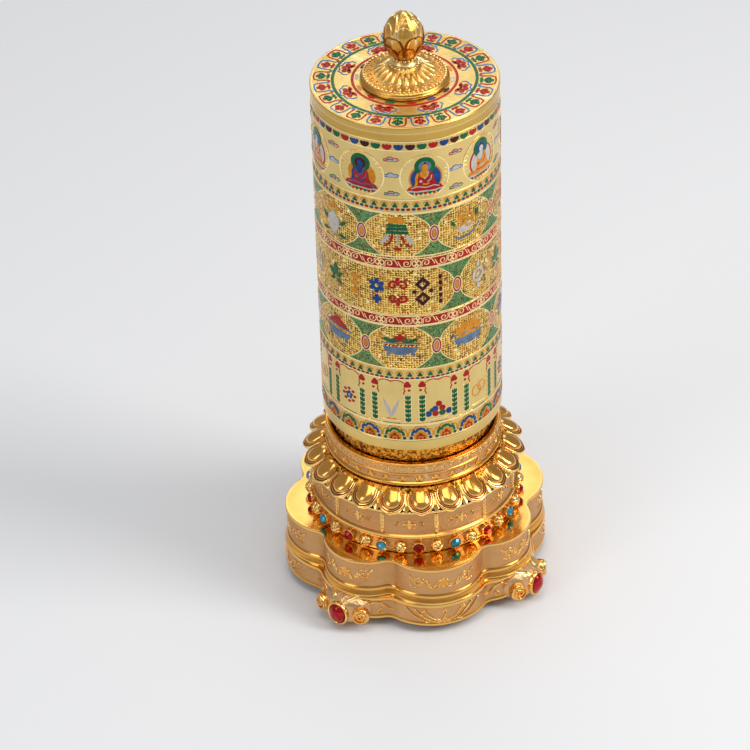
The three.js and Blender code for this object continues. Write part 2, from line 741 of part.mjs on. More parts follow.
// ================================================================ assembly
place("lower_plinth", lowerPlinth(), "roseGold");
place("upper_plinth", upperPlinth(), "roseGold");
place("jewel_belt", jewelBelt(), "roseGold");
place("neck_band", neckBand(), "roseGold");
place("lotus_ring", lotusRing(), "roseGold");
place("collar", collar(), "roseGold");
place("bottom_cover", bottomCover(), "blackedSteel");
for (let i = 0; i < LOBES; i++) {
  place(`foot_cabochon_${i + 1}`, cabochon(turn(LOBES, i + 0.5)), "redStone");
  place(`cover_screw_${i + 1}`, coverScrew(i), "steel");
}
for (let i = 0; i < STONES; i++) {
  const colour = i % 2 ? "red" : "blue";
  place(`${colour}_stone_${i + 1}`, stone(i), `${colour}Stone`);
}

place("carrier_plate", carrierPlate(), "steel");
place("spindle", spindle(), "steel");
place("spindle_washer", washer(plateZ - SEAT_GAP - WASHER_T), "steel");
place("spindle_nut", hexNut(NUT_R, SPINDLE_R, nutZ, NUT_H), "steel");
place("top_washer", washer(topWasherZ), "steel");
place("lock_nut", hexNut(NUT_R, SPINDLE_R, lockNutZ, NUT_H), "steel");

place("lower_race", race(bearingZ, 1), "steel");
place("upper_race", race(bearingZ + BEARING_H, -1), "steel");
place("ball_cage", ballCage(), "brass");
for (let i = 0; i < BALLS; i++) {
  const ball = new THREE.SphereGeometry(BALL_R, 8, 6).translate(...ballCentre(i));
  place(`ball_${i + 1}`, ball, "steel");
}

place("drum_floor", drumFloor(), "paleGold");
place("drum_shell", ring(DRUM_R, DRUM_R - SHELL_T, shellZ, lidUnderZ - SEAT_GAP, LARGE), "paleGold");
place("drum_lid", drumLid(), "paleGold");
place("lower_bush", bush(floorZ, floorZ + HUB_H), "brass");
place("upper_bush", bush(upperBushZ, upperBushZ + UPPER_BUSH_H), "brass");
place("top_disc", topDisc(), "brass");
place("scroll_core", scrollCore(), "cardboard");
place("prayer_scroll", prayerScroll(), "paper");

place("boss", boss(), "finialGold");
place("finial", finial(), "finialGold");
place("finial_stud", ring(STUD_R, 0, lidUnderZ - STUD_TAIL, studTopZ, SMALL), "steel");
place("finial_nut", hexNut(STUD_NUT_R, STUD_R, lidUnderZ - SEAT_GAP - STUD_NUT_H, STUD_NUT_H), "steel");

export default wheel;
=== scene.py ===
import json
import math

import bpy
from mathutils import Matrix, Vector


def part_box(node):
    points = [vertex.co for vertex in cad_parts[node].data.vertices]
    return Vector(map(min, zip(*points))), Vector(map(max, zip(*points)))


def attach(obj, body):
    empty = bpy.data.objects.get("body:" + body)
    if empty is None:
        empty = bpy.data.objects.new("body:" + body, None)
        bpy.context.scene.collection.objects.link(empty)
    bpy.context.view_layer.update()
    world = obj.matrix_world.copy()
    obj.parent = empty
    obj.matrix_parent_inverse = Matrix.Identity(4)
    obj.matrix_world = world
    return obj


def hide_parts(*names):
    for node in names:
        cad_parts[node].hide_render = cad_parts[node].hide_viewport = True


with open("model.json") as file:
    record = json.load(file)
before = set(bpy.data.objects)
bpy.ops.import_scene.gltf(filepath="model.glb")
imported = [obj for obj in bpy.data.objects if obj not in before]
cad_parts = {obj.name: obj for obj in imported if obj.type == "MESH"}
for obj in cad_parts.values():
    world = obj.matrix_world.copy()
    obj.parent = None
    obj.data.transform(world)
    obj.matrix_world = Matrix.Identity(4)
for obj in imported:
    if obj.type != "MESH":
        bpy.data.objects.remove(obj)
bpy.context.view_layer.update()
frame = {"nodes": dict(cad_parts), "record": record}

# ================================================================ places taken from the frame
# Lengths below are in millimetres unless a name says otherwise.
MM = 0.001


def corners(node):
    low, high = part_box(node)
    return low / MM, high / MM


shell_low, shell_high = corners("drum_shell")
floor_low, floor_high = corners("drum_floor")
lid_low, lid_high = corners("drum_lid")
boss_low, boss_high = corners("boss")
finial_low, finial_high = corners("finial")
collar_low, collar_high = corners("collar")
lotus_low, lotus_high = corners("lotus_ring")
neck_low, neck_high = corners("neck_band")
belt_low, belt_high = corners("jewel_belt")
upper_low, upper_high = corners("upper_plinth")
_, lower_high = corners("lower_plinth")

DRUM_R = shell_high.x
RIM_H = 4.5  # the plain rim under the shell
SEAT_GAP = 0.3
drum_z = shell_low.z - SEAT_GAP - RIM_H  # bottom of the drum's rim
lid_z = lid_high.z

FULL_TURN = 2 * math.pi


# ================================================================ working by hand
def deselect_all():
    if bpy.context.mode != "OBJECT":
        bpy.ops.object.mode_set(mode="OBJECT")
    bpy.ops.object.select_all(action="DESELECT")


def take(piece):
    deselect_all()
    piece.select_set(True)
    bpy.context.view_layer.objects.active = piece
    return piece


def edit(piece):
    take(piece)
    bpy.ops.object.mode_set(mode="EDIT")
    bpy.ops.mesh.select_all(action="SELECT")


def done():
    bpy.ops.object.mode_set(mode="OBJECT")


def apply_place(piece):
    take(piece)
    bpy.ops.object.transform_apply(location=True, rotation=True, scale=True)
    return piece


def tidy(piece, threshold=1e-7):
    """Merges doubled points and turns every face outwards."""
    edit(piece)
    bpy.ops.mesh.remove_doubles(threshold=threshold)
    bpy.ops.mesh.normals_make_consistent(inside=False)
    done()
    return piece


def soften(piece, degrees=35):
    take(piece)
    bpy.ops.object.shade_smooth_by_angle(angle=math.radians(degrees))
    return piece


def merge(pieces):
    """Joins pieces into the first of them."""
    first = take(pieces[0])
    for piece in pieces[1:]:
        piece.select_set(True)
    if len(pieces) > 1:
        bpy.ops.object.join()
    return first


def copies_around(piece, count):
    """Repeats a piece evenly round the spindle's axis, as one mesh."""
    if count > 1:
        edit(piece)
        angle = FULL_TURN * (count - 1) / count
        bpy.ops.mesh.spin(steps=count - 1, dupli=True, angle=angle, center=(0, 0, 0), axis=(0, 0, 1))
        done()
    return piece


def drawn(points, edges, faces=()):
    mesh = bpy.data.meshes.new("drawn")
    mesh.from_pydata([Vector(p) * MM for p in points], edges, faces)
    piece = bpy.data.objects.new("drawn", mesh)
    bpy.context.scene.collection.objects.link(piece)
    return piece


def turned(profile, steps):
    """A profile of (radius, height) pairs spun once round the spindle's axis."""
    count = len(profile)
    edges = [(i, (i + 1) % count) for i in range(count)]
    piece = drawn([(r, 0, z) for r, z in profile], edges)
    edit(piece)
    bpy.ops.mesh.spin(steps=steps, angle=FULL_TURN, center=(0, 0, 0), axis=(0, 0, 1))
    done()
    return tidy(piece, 2e-6)


def rounded(profile, radius=0.3, steps=3):
    """The closed profile with each corner eased by a short arc."""
    count = len(profile)
    eased = []
    for i, corner in enumerate(profile):
        here = Vector(corner)
        before = Vector(profile[i - 1]) - here
        after = Vector(profile[(i + 1) % count]) - here
        reach = min(radius, before.length * 0.45, after.length * 0.45)
        start = here + before.normalized() * reach
        end = here + after.normalized() * reach
        for s in range(steps + 1):
            t = s / steps
            eased.append(tuple(start * (1 - t) ** 2 + here * 2 * t * (1 - t) + end * t * t))
    return eased


def painted(piece, choose, *materials):
    """Gives each face one of the materials: choose(centre in mm, normal) says which."""
    for material in materials:
        piece.data.materials.append(material)
    for face in piece.data.polygons:
        face.material_index = choose(face.center / MM, face.normal)
    return piece


def coated(piece, material):
    """Gives the whole piece one material."""
    piece.data.materials.clear()
    piece.data.materials.append(material)
    return piece


def settle(piece, name, body, slot, *replaced):
    """Names a finished piece, ties it to its body and hides the CAD nodes that it stands for; the slot, its
    finish, is not used.
    """
    piece.name = name
    piece.data.name = name
    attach(piece, body)
    if replaced:
        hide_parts(*replaced)
    return piece


# ================================================================ shader groups
def new_group(name, inputs, outputs):
    tree = bpy.data.node_groups.new(name, "ShaderNodeTree")
    kinds = {"color": "NodeSocketColor", "float": "NodeSocketFloat", "vector": "NodeSocketVector"}
    for label, kind, value in inputs:
        socket = tree.interface.new_socket(label, in_out="INPUT", socket_type=kinds[kind])
        if value is not None:
            socket.default_value = value
    for label, kind in outputs:
        tree.interface.new_socket(label, in_out="OUTPUT", socket_type=kinds[kind])
    return tree, tree.nodes.new("NodeGroupInput"), tree.nodes.new("NodeGroupOutput")


class Wiring:
    """Short calls for laying nodes in one tree."""

    def __init__(self, tree):
        self.tree = tree

    def node(self, kind, *linked, **settings):
        made = self.tree.nodes.new(kind)
        for name, value in settings.items():
            setattr(made, name, value)
        for socket, source in linked:
            self.feed(made.inputs[socket], source)
        return made

    def feed(self, socket, source):
        if isinstance(source, bpy.types.NodeSocket):
            self.tree.links.new(source, socket)
        else:
            socket.default_value = source

    def math(self, operation, a, b=0.0, clamp=False):
        made = self.node("ShaderNodeMath", (0, a), (1, b), operation=operation, use_clamp=clamp)
        return made.outputs[0]

    def between(self, value, low, high, to_low=0.0, to_high=1.0):
        made = self.node("ShaderNodeMapRange", (0, value), (1, low), (2, high), (3, to_low), (4, to_high))
        return made.outputs[0]

    def blend(self, factor, a, b):
        made = self.node("ShaderNodeMix", (0, factor), (6, a), (7, b), data_type="RGBA")
        return made.outputs[2]

    def noise(self, vector, scale, detail=2.0, distortion=0.0):
        made = self.node("ShaderNodeTexNoise", ("Vector", vector), ("Scale", scale), ("Detail", detail))
        made.inputs["Distortion"].default_value = distortion
        return made.outputs[0]

    def voronoi(self, vector, scale, distance="EUCLIDEAN", randomness=1.0):
        made = self.node("ShaderNodeTexVoronoi", ("Vector", vector), ("Scale", scale), distance=distance)
        made.inputs["Randomness"].default_value = randomness
        return made


def sand_group():
    """A cast, sand-blasted ground: fine pits over soft unevenness."""
    inputs = [("Vector", "vector", None), ("Scale", "float", 1500.0)]
    tree, given, out = new_group("cast_sand", inputs, [("Height", "float"), ("Grain", "float")])
    w = Wiring(tree)
    fine = w.noise(given.outputs["Vector"], given.outputs["Scale"], 3.0)
    pits = w.voronoi(given.outputs["Vector"], w.math("MULTIPLY", given.outputs["Scale"], 0.55))
    height = w.math("ADD", w.math("MULTIPLY", fine, 0.6), w.math("MULTIPLY", pits.outputs["Distance"], 0.6))
    w.feed(out.inputs["Height"], height)
    w.feed(out.inputs["Grain"], fine)
    return tree


def plating_group():
    """Gold plate: a deeper colour as painted shade and a duller finish in hollows, and a paler colour as a
    painted highlight on sharp edges.
    """
    inputs = [
        ("Vector", "vector", None),
        ("Plate", "color", (0.8, 0.6, 0.3, 1)),
        ("Hollow", "color", (0.4, 0.2, 0.05, 1)),
        ("Edge", "color", (0.95, 0.8, 0.5, 1)),
        ("Roughness", "float", 0.2),
        ("Hollow Depth", "float", 0.6),
    ]
    tree, given, out = new_group("gold_plating", inputs, [("Color", "color"), ("Roughness", "float")])
    w = Wiring(tree)
    point = w.node("ShaderNodeNewGeometry").outputs["Pointiness"]
    # Painted shade: hollows found by pointiness take the darker Hollow colour.
    hollow_shade = w.math("MULTIPLY", w.between(point, 0.5, 0.44), given.outputs["Hollow Depth"])
    # Painted highlight: sharp edges found by pointiness take the paler Edge colour.
    edge = w.between(point, 0.52, 0.6)
    clouds = w.noise(given.outputs["Vector"], 90.0, 3.0)
    toned = w.blend(w.between(clouds, 0.3, 0.7, 0.0, 0.25), given.outputs["Plate"], given.outputs["Hollow"])
    hollow_shaded = w.blend(hollow_shade, toned, given.outputs["Hollow"])
    w.feed(out.inputs["Color"], w.blend(edge, hollow_shaded, given.outputs["Edge"]))
    smears = w.between(w.noise(given.outputs["Vector"], 240.0, 4.0), 0.3, 0.7, 0.85, 1.25)
    rough = w.math("MULTIPLY", given.outputs["Roughness"], smears)
    w.feed(out.inputs["Roughness"], w.math("ADD", rough, w.math("MULTIPLY", hollow_shade, 0.12), clamp=True))
    return tree


def enamel_group():
    """Fired enamel: slightly uneven colour, pinholes and a faint ripple on the surface."""
    inputs = [
        ("Vector", "vector", None), ("Enamel", "color", (0.5, 0, 0, 1)), ("Thin", "color", (0.7, 0.1, 0.1, 1))
    ]
    outputs = [("Color", "color"), ("Roughness", "float"), ("Height", "float")]
    tree, given, out = new_group("fired_enamel", inputs, outputs)
    w = Wiring(tree)
    pooled = w.noise(given.outputs["Vector"], 420.0, 3.0, 0.4)
    w.feed(
        out.inputs["Color"],
        w.blend(w.between(pooled, 0.35, 0.7), given.outputs["Enamel"], given.outputs["Thin"])
    )
    specks = w.noise(given.outputs["Vector"], 2600.0, 1.0)
    w.feed(out.inputs["Roughness"], w.between(specks, 0.3, 0.75, 0.14, 0.34))
    w.feed(out.inputs["Height"], w.math("ADD", pooled, w.math("MULTIPLY", specks, 0.15)))
    return tree


def mosaic_group():
    """The chased ground between ornaments: a grid of dark pits with a few larger pebbles, in columns
    and rows that follow the drum."""
    inputs = [("Vector", "vector", None), ("Radius", "float", 0.033), ("Pitch", "float", 0.001)]
    outputs = [("Pit", "float"), ("Pebble", "float"), ("Height", "float")]
    tree, given, out = new_group("chased_mosaic", inputs, outputs)
    w = Wiring(tree)
    axes = w.node("ShaderNodeSeparateXYZ", (0, given.outputs["Vector"]))
    angle = w.math("ARCTAN2", axes.outputs["Y"], axes.outputs["X"])
    around = w.math("DIVIDE", w.math("MULTIPLY", angle, given.outputs["Radius"]), given.outputs["Pitch"])
    up = w.math("DIVIDE", axes.outputs["Z"], given.outputs["Pitch"])
    flat = w.node("ShaderNodeCombineXYZ", ("X", around), ("Y", up)).outputs[0]
    cells = w.voronoi(flat, 1.0, distance="CHEBYCHEV", randomness=0.27)
    tone = w.node("ShaderNodeSeparateColor", (0, cells.outputs["Color"]))
    size = w.between(tone.outputs[0], 0.0, 1.0, 0.25, 0.43)
    pit = w.between(w.math("SUBTRACT", size, cells.outputs["Distance"]), -0.04, 0.05)
    blots = w.voronoi(flat, 0.31, randomness=1.0)
    blot = w.between(w.math("SUBTRACT", 0.2, blots.outputs["Distance"]), -0.02, 0.03)
    pit = w.math("MAXIMUM", pit, blot)
    pebbles = w.voronoi(flat, 0.27, randomness=0.9)
    pebble = w.between(w.math("SUBTRACT", 0.22, pebbles.outputs["Distance"]), -0.02, 0.04)
    open_pit = w.math("MULTIPLY", pit, w.math("SUBTRACT", 1.0, pebble))
    w.feed(out.inputs["Pit"], open_pit)
    w.feed(out.inputs["Pebble"], pebble)
    w.feed(out.inputs["Height"], w.math("SUBTRACT", w.math("MULTIPLY", pebble, 0.5), open_pit))
    return tree


SAND = sand_group()
PLATING = plating_group()
ENAMEL = enamel_group()
MOSAIC = mosaic_group()


def new_material(name):
    """A material with its wiring, its Principled shader and the piece's own coordinates."""
    material = bpy.data.materials.new(name)
    material.use_nodes = True
    w = Wiring(material.node_tree)
    shader = material.node_tree.nodes["Principled BSDF"]
    place = w.node("ShaderNodeTexCoord").outputs["Object"]
    return material, w, shader, place


def feed_all(w, node, **linked):
    """Feeds named inputs from sockets or plain values; an underscore stands for a space."""
    for name, source in linked.items():
        w.feed(node.inputs[name.replace("_", " ")], source)
    return node


def grouped(w, tree, **linked):
    return feed_all(w, w.node("ShaderNodeGroup", node_tree=tree), **linked)


def raise_by(w, shader, height, distance, strength=1.0):
    bump = w.node("ShaderNodeBump", ("Height", height), ("Strength", strength), ("Distance", distance))
    w.feed(shader.inputs["Normal"], bump.outputs[0])


SAND_BUMP = 0.00025  # metres of relief under a sanded finish
PLAIN_BUMP = 0.00004  # and under a polished one
PLAIN_GRAIN = 0.25


# The hollow colour is painted shade in the hollows and the edge colour a painted highlight on sharp edges;
# depth sets how strong the painted shade is.
def gold(name, plate, hollow_shade, edge, roughness, sand=0.0, sand_scale=1500.0, depth=0.6, anisotropic=0.0):
    material, w, shader, place = new_material(name)
    plating = grouped(w, PLATING, Vector=place, Plate=(*plate, 1), Hollow=(*hollow_shade, 1), Edge=(*edge, 1),
                      Roughness=roughness, Hollow_Depth=depth)
    grain = grouped(w, SAND, Vector=place, Scale=sand_scale)
    feed_all(w, shader, Metallic=1.0, Anisotropic=anisotropic, Base_Color=plating.outputs["Color"],
             Roughness=plating.outputs["Roughness"])
    raise_by(w, shader, grain.outputs["Height"], SAND_BUMP if sand else PLAIN_BUMP, sand or PLAIN_GRAIN)
    return material


def enamel(name, colour, thin):
    material, w, shader, place = new_material(name)
    fired = grouped(w, ENAMEL, Vector=place, Enamel=(*colour, 1), Thin=(*thin, 1))
    feed_all(w, shader, Base_Color=fired.outputs["Color"], Roughness=fired.outputs["Roughness"],
             Specular_IOR_Level=0.18, Coat_Weight=0.05, Coat_Roughness=0.06)
    raise_by(w, shader, fired.outputs["Height"], 0.00008, 0.5)
    return material


def mottled_enamel(name, dark, light, vein):
    """Green enamel with paler swirls and gold squiggles showing through."""
    material, w, shader, place = new_material(name)
    swirl = w.noise(place, 700.0, 2.0, 1.2)
    tone = w.blend(w.between(swirl, 0.42, 0.58), (*dark, 1), (*light, 1))
    line = w.noise(place, 1150.0, 1.0, 2.2)
    squiggle = w.between(w.math("ABSOLUTE", w.math("SUBTRACT", line, 0.5)), 0.045, 0.02)
    feed_all(w, shader, Base_Color=w.blend(w.math("MULTIPLY", squiggle, 0.75), tone, (*vein, 1)),
             Metallic=w.math("MULTIPLY", squiggle, 0.8), Roughness=w.between(swirl, 0.3, 0.7, 0.2, 0.36),
             Specular_IOR_Level=0.18, Coat_Weight=0.05, Coat_Roughness=0.08)
    raise_by(w, shader, w.math("ADD", squiggle, swirl), 0.00012, 0.7)
    return material


def mosaic_gold(name):
    """The chased ground: gold bars and pebbles over pits; the pits are painted shade, amber in places and
    near black in others, and the pebbles a paler painted highlight.
    """
    material, w, shader, place = new_material(name)
    cells = grouped(w, MOSAIC, Vector=place, Radius=DRUM_R * MM, Pitch=0.00096)
    plating = grouped(w, PLATING, Vector=place, Plate=(1.0, 0.72, 0.20, 1), Hollow=(0.60, 0.32, 0.05, 1),
                      Edge=(0.98, 0.84, 0.45, 1), Roughness=0.22, Hollow_Depth=0.5)
    # Painted shade in the pits: amber in places, near black in others.
    patch = w.between(w.noise(place, 210.0, 2.0), 0.40, 0.60)
    pit_shade = w.blend(patch, (0.15, 0.030, 0.002, 1), (0.48, 0.18, 0.010, 1))
    pits_shaded = w.blend(w.math("MULTIPLY", cells.outputs["Pit"], 0.97), plating.outputs["Color"], pit_shade)
    # Painted highlight: the pebbles are paler than the plate.
    pebbles_highlit = w.blend(w.math("MULTIPLY", cells.outputs["Pebble"], 0.8), pits_shaded, (0.98, 0.82, 0.42, 1))
    w.feed(shader.inputs["Base Color"], pebbles_highlit)
    w.feed(shader.inputs["Metallic"], w.between(cells.outputs["Pit"], 0.0, 1.0, 1.0, 0.75))
    dulled = w.math("MULTIPLY", cells.outputs["Pit"], 0.15)
    w.feed(shader.inputs["Roughness"], w.math("ADD", plating.outputs["Roughness"], dulled))
    raise_by(w, shader, cells.outputs["Height"], 0.0003, 1.0)
    return material


def gem(name, deep, bright):
    """Foil-backed glass: the facets mirror in the stone's own colour under a clear surface."""
    material, w, shader, place = new_material(name)
    depth = w.noise(place, 600.0, 2.0, 0.6)
    feed_all(w, shader, Base_Color=w.blend(w.between(depth, 0.35, 0.65), (*deep, 1), (*bright, 1)),
             Metallic=0.6, Specular_IOR_Level=0.3, Roughness=w.between(depth, 0.3, 0.7, 0.05, 0.14),
             Coat_Weight=0.35, Coat_Roughness=0.02)
    return material


LATHE_MARKS = 2200.0  # fineness of the turning marks along the axis


def plain_metal(name, colour, roughness):
    """Turned metal with fine lathe marks round the spindle's axis."""
    material, w, shader, place = new_material(name)
    axes = w.node("ShaderNodeSeparateXYZ", (0, place))
    marks = w.noise(w.node("ShaderNodeCombineXYZ", ("Z", axes.outputs["Z"])).outputs[0], LATHE_MARKS, 3.0)
    stains = w.noise(place, 160.0, 3.0)
    dull = tuple(c * 0.72 for c in colour)
    w.feed(shader.inputs["Base Color"], w.blend(w.between(stains, 0.4, 0.75), (*colour, 1), (*dull, 1)))
    shader.inputs["Metallic"].default_value = 1.0
    w.feed(shader.inputs["Roughness"], w.between(stains, 0.3, 0.7, roughness * 0.8, roughness * 1.3))
    raise_by(w, shader, marks, 0.00002, 0.6)
    return material


def fibre(name, colour, dark, scale, stretch, roughness, depth):
    """Paper or board: fibres stretched round the roll."""
    material, w, shader, place = new_material(name)
    laid = w.node("ShaderNodeMapping", ("Vector", place), ("Scale", stretch)).outputs[0]
    fibres = w.noise(laid, scale, 4.0, 0.5)
    w.feed(shader.inputs["Base Color"], w.blend(w.between(fibres, 0.35, 0.7), (*dark, 1), (*colour, 1)))
    w.feed(shader.inputs["Roughness"], w.between(fibres, 0.3, 0.7, roughness, roughness - 0.12))
    raise_by(w, shader, fibres, depth, 0.8)
    return material


def hammered_shade_amber(name):
    """The skirt under the rim: a hammered surface whose colour is painted shade and painted reflection, near
    black to amber as the dents run.
    """
    material, w, shader, place = new_material(name)
    dents = w.noise(place, 760.0, 3.0, 0.6)
    # Painted shade and painted reflection: near black in the dents, amber between them.
    w.feed(
        shader.inputs["Base Color"],
        w.blend(w.between(dents, 0.38, 0.56), (0.16, 0.035, 0.001, 1), (0.88, 0.40, 0.05, 1))
    )
    shader.inputs["Metallic"].default_value = 1.0
    w.feed(shader.inputs["Roughness"], w.between(dents, 0.3, 0.7, 0.16, 0.34))
    raise_by(w, shader, dents, 0.0005, 1.0)
    return material


PALE_POLISHED = gold(
    "pale_gold_polished", (0.74, 0.52, 0.16), (0.40, 0.22, 0.04), (0.97, 0.80, 0.40), 0.14, anisotropic=0.5
)
PALE_SANDED = gold(
    "pale_gold_sanded", (0.74, 0.54, 0.19), (0.46, 0.26, 0.05), (0.96, 0.80, 0.42), 0.3, 0.35, 2200.0
)
# A darker copy of the polished pale gold for the plain top band and the lid's rim: painted dark reflection.
BAND_DARK_REFLECTION = gold(
    "band_gold_dark_reflection", (0.60, 0.38, 0.09), (0.30, 0.15, 0.02), (0.90, 0.66, 0.26), 0.13, anisotropic=0.6
)
PALE_MOSAIC = mosaic_gold("pale_gold_mosaic")
DEEP_POLISHED = gold(
    "deep_gold_polished", (0.84, 0.46, 0.10), (0.30, 0.085, 0.006), (1.0, 0.80, 0.40), 0.3, 0.25, 2000.0, 1.3
)
ROSE_POLISHED = gold(
    "rose_gold_polished", (0.88, 0.42, 0.08), (0.34, 0.09, 0.005), (1.0, 0.72, 0.28), 0.15, depth=1.2
)
ROSE_SANDED = gold(
    "rose_gold_sanded", (0.80, 0.50, 0.24), (0.46, 0.20, 0.05), (1.0, 0.82, 0.52), 0.36, 0.9, 1300.0
)
RED_GLASS = gem("red_glass", (0.20, 0.0, 0.001), (0.58, 0.002, 0.006))
AQUA_GLASS = gem("aqua_glass", (0.01, 0.14, 0.28), (0.08, 0.42, 0.64))
PALE_CHASED = gold(
    "pale_gold_chased", (0.78, 0.59, 0.23), (0.48, 0.28, 0.06), (0.97, 0.82, 0.46), 0.24, 0.25, 2600.0
)
# A paler copy of the chased gold for the lid's top, which faces up to the lamps: painted light.
LID_CHASED_LIT = gold(
    "lid_gold_chased_lit", (0.90, 0.68, 0.26), (0.50, 0.28, 0.05), (1.0, 0.84, 0.46), 0.34, 0.6, 1500.0
)
HAMMERED_SHADE = hammered_shade_amber("hammered_shade_amber")

ENAMELS = {
    "red": enamel("enamel_red", (0.34, 0.003, 0.002), (0.46, 0.010, 0.004)),
    "green": enamel("enamel_green", (0.0, 0.085, 0.028), (0.002, 0.15, 0.055)),
    "blue": enamel("enamel_blue", (0.002, 0.035, 0.17), (0.008, 0.075, 0.28)),
    "orange": enamel("enamel_orange", (0.58, 0.20, 0.004), (0.72, 0.30, 0.012)),
    "maroon": enamel("enamel_maroon", (0.028, 0.001, 0.005), (0.06, 0.003, 0.01)),
    "pale": enamel("enamel_pale", (0.46, 0.42, 0.39), (0.60, 0.55, 0.51)),
    "sky": enamel("enamel_sky", (0.085, 0.14, 0.24), (0.15, 0.22, 0.33)),
    "azure": enamel("enamel_azure", (0.025, 0.12, 0.33), (0.06, 0.19, 0.44)),
    "mottle": mottled_enamel(
        "enamel_mottled_green", (0.0, 0.075, 0.02), (0.012, 0.24, 0.075), (0.75, 0.60, 0.20)
    ),
}
ENAMEL_SLOTS = {"azure": "enamel_blue", "mottle": "enamel_green"}  # the others share their colour's name

# ================================================================ camera, floor and lights
BASE_TURN = math.radians(-11.5)  # the viewer stands this far round from the front lobe
CAMERA_BACK = 30.8413 * DRUM_R
CAMERA_UP = 22.7258 * DRUM_R
CAMERA_YAW = 0.0133
CAMERA_PITCH = -0.6285
CAMERA_ROLL = 0.0319
CAMERA_LENS = 164.4


def set_camera():
    turn = Matrix.Rotation(BASE_TURN, 3, "Z")
    aim = Matrix.Rotation(CAMERA_YAW, 3, "Z") @ Matrix.Rotation(
        CAMERA_PITCH, 3, "X"
    ) @ Matrix.Rotation(CAMERA_ROLL, 3, "Y")
    aim = turn @ aim
    right, forward, up = (Vector(column) for column in aim.transposed())
    place = turn @ Vector((0, -CAMERA_BACK, 0)) + Vector((0, 0, CAMERA_UP + drum_z))
    data = bpy.data.cameras.new("camera")
    data.lens = CAMERA_LENS
    data.sensor_width = 36
    data.clip_end = 10
    camera = bpy.data.objects.new("camera", data)
    world = Matrix((right, up, -forward)).transposed().to_4x4()
    world.translation = place * MM
    camera.matrix_world = world
    bpy.context.scene.collection.objects.link(camera)
    bpy.context.scene.camera = camera


def soft_light(name, azimuth, elevation, distance, size, power, colour=(1, 1, 1)):
    """A rectangular studio light that looks at the middle of the wheel."""
    data = bpy.data.lights.new(name, "AREA")
    data.shape = "RECTANGLE"
    data.size, data.size_y = size
    data.energy = power
    data.color = colour
    light = bpy.data.objects.new(name, data)
    a, e = math.radians(azimuth), math.radians(elevation)
    out = Vector((math.cos(a) * math.cos(e), math.sin(a) * math.cos(e), math.sin(e)))
    light.location = out * distance + Vector((0, 0, 0.1))
    light.rotation_euler = out.to_track_quat("Z", "Y").to_euler()
    bpy.context.scene.collection.objects.link(light)


def set_stage():
    bpy.ops.mesh.primitive_plane_add(size=6, location=(0, 0, -0.0002))
    floor = bpy.context.object
    floor.name = "floor"
    material, w, shader, place = new_material("pale_floor")
    faint = w.noise(place, 3.0, 2.0)
    w.feed(shader.inputs["Base Color"], w.blend(faint, (0.75, 0.76, 0.78, 1), (0.76, 0.77, 0.79, 1)))
    shader.inputs["Roughness"].default_value = 0.9
    floor.data.materials.append(material)
    world = bpy.data.worlds.new("studio")
    world.use_nodes = True
    world.node_tree.nodes["Background"].inputs[0].default_value = (0.90, 0.92, 0.95, 1)
    world.node_tree.nodes["Background"].inputs[1].default_value = 0.4
    bpy.context.scene.world = world
    soft_light("key", -28, 40, 1.1, (0.40, 0.7), 7.2, (1.0, 0.97, 0.93))
    soft_light("fill", 208, 30, 1.2, (0.45, 0.8), 2.6, (0.95, 0.97, 1.0))
    soft_light("top", 262, 84, 1.2, (0.8, 0.8), 5.0)
    soft_light("back", 82, 42, 1.25, (1.0, 0.45), 2.1, (1.0, 0.93, 0.82))
    scene = bpy.context.scene
    scene.view_settings.view_transform = "Standard"
    scene.view_settings.look = "None"


set_camera()
set_stage()

# ================================================================ flat shapes for the enamel cells
# Every shape is a closed outline of (x, y) points: x along the rim to the right, y up the drum.


def oval(x, y, a, b=None, points=20):
    b = a if b is None else b
    return [
        (x + a * math.cos(t), y + b * math.sin(t)) for t in (FULL_TURN * i / points for i in range(points))
    ]


def arc(x, y, r, start, end, points=10, squash=1.0):
    """Points along an arc, in degrees, anticlockwise from +x."""
    steps = [math.radians(start + (end - start) * i / points) for i in range(points + 1)]
    return [(x + r * math.cos(t), y + squash * r * math.sin(t)) for t in steps]


def stroke(line, width, taper=0.0):
    """A ribbon of even width along a line; taper narrows both ends."""
    count = len(line)
    left, right = [], []
    for i, (x, y) in enumerate(line):
        x0, y0 = line[max(i - 1, 0)]
        x1, y1 = line[min(i + 1, count - 1)]
        length = math.hypot(x1 - x0, y1 - y0) or 1.0
        near_end = min(i, count - 1 - i) / max(1, (count - 1) / 2)
        half = width / 2 * (1 - taper * (1 - near_end))
        nx, ny = -(y1 - y0) / length * half, (x1 - x0) / length * half
        left.append((x + nx, y + ny))
        right.append((x - nx, y - ny))
    return left + right[::-1]


def spiral(x, y, r0, r1, start, turns, points=26):
    """Points of a spiral from radius r0 in to r1; negative turns run clockwise."""
    line = []
    for i in range(points + 1):
        t = i / points
        r = r0 + (r1 - r0) * t
        a = math.radians(start + 360 * turns * t)
        line.append((x + r * math.cos(a), y + r * math.sin(a)))
    return line


def leaf(x, y, length, width, angle, points=8):
    """A pointed leaf that starts at (x, y) and runs along angle, in degrees."""
    a = math.radians(angle)
    side = [
        (length * i / points, width / 2 * math.sin(math.pi * (i / points) ** 0.8)) for i in range(points + 1)
    ]
    outline = side + [(u, -v) for u, v in side[-2:0:-1]]
    return [
        (x + u * math.cos(a) - v * math.sin(a), y + u * math.sin(a) + v * math.cos(a)) for u, v in outline
    ]


def bloom(x, y, inner, outer, petals, turn=90.0, points=6):
    """A round flower outline with that many petals."""
    outline = []
    for i in range(petals * points):
        a = math.radians(turn) + FULL_TURN * i / (petals * points)
        r = inner + (outer - inner) * abs(math.cos(petals * (a - math.radians(turn)) / 2)) ** 0.7
        outline.append((x + r * math.cos(a), y + r * math.sin(a)))
    return outline


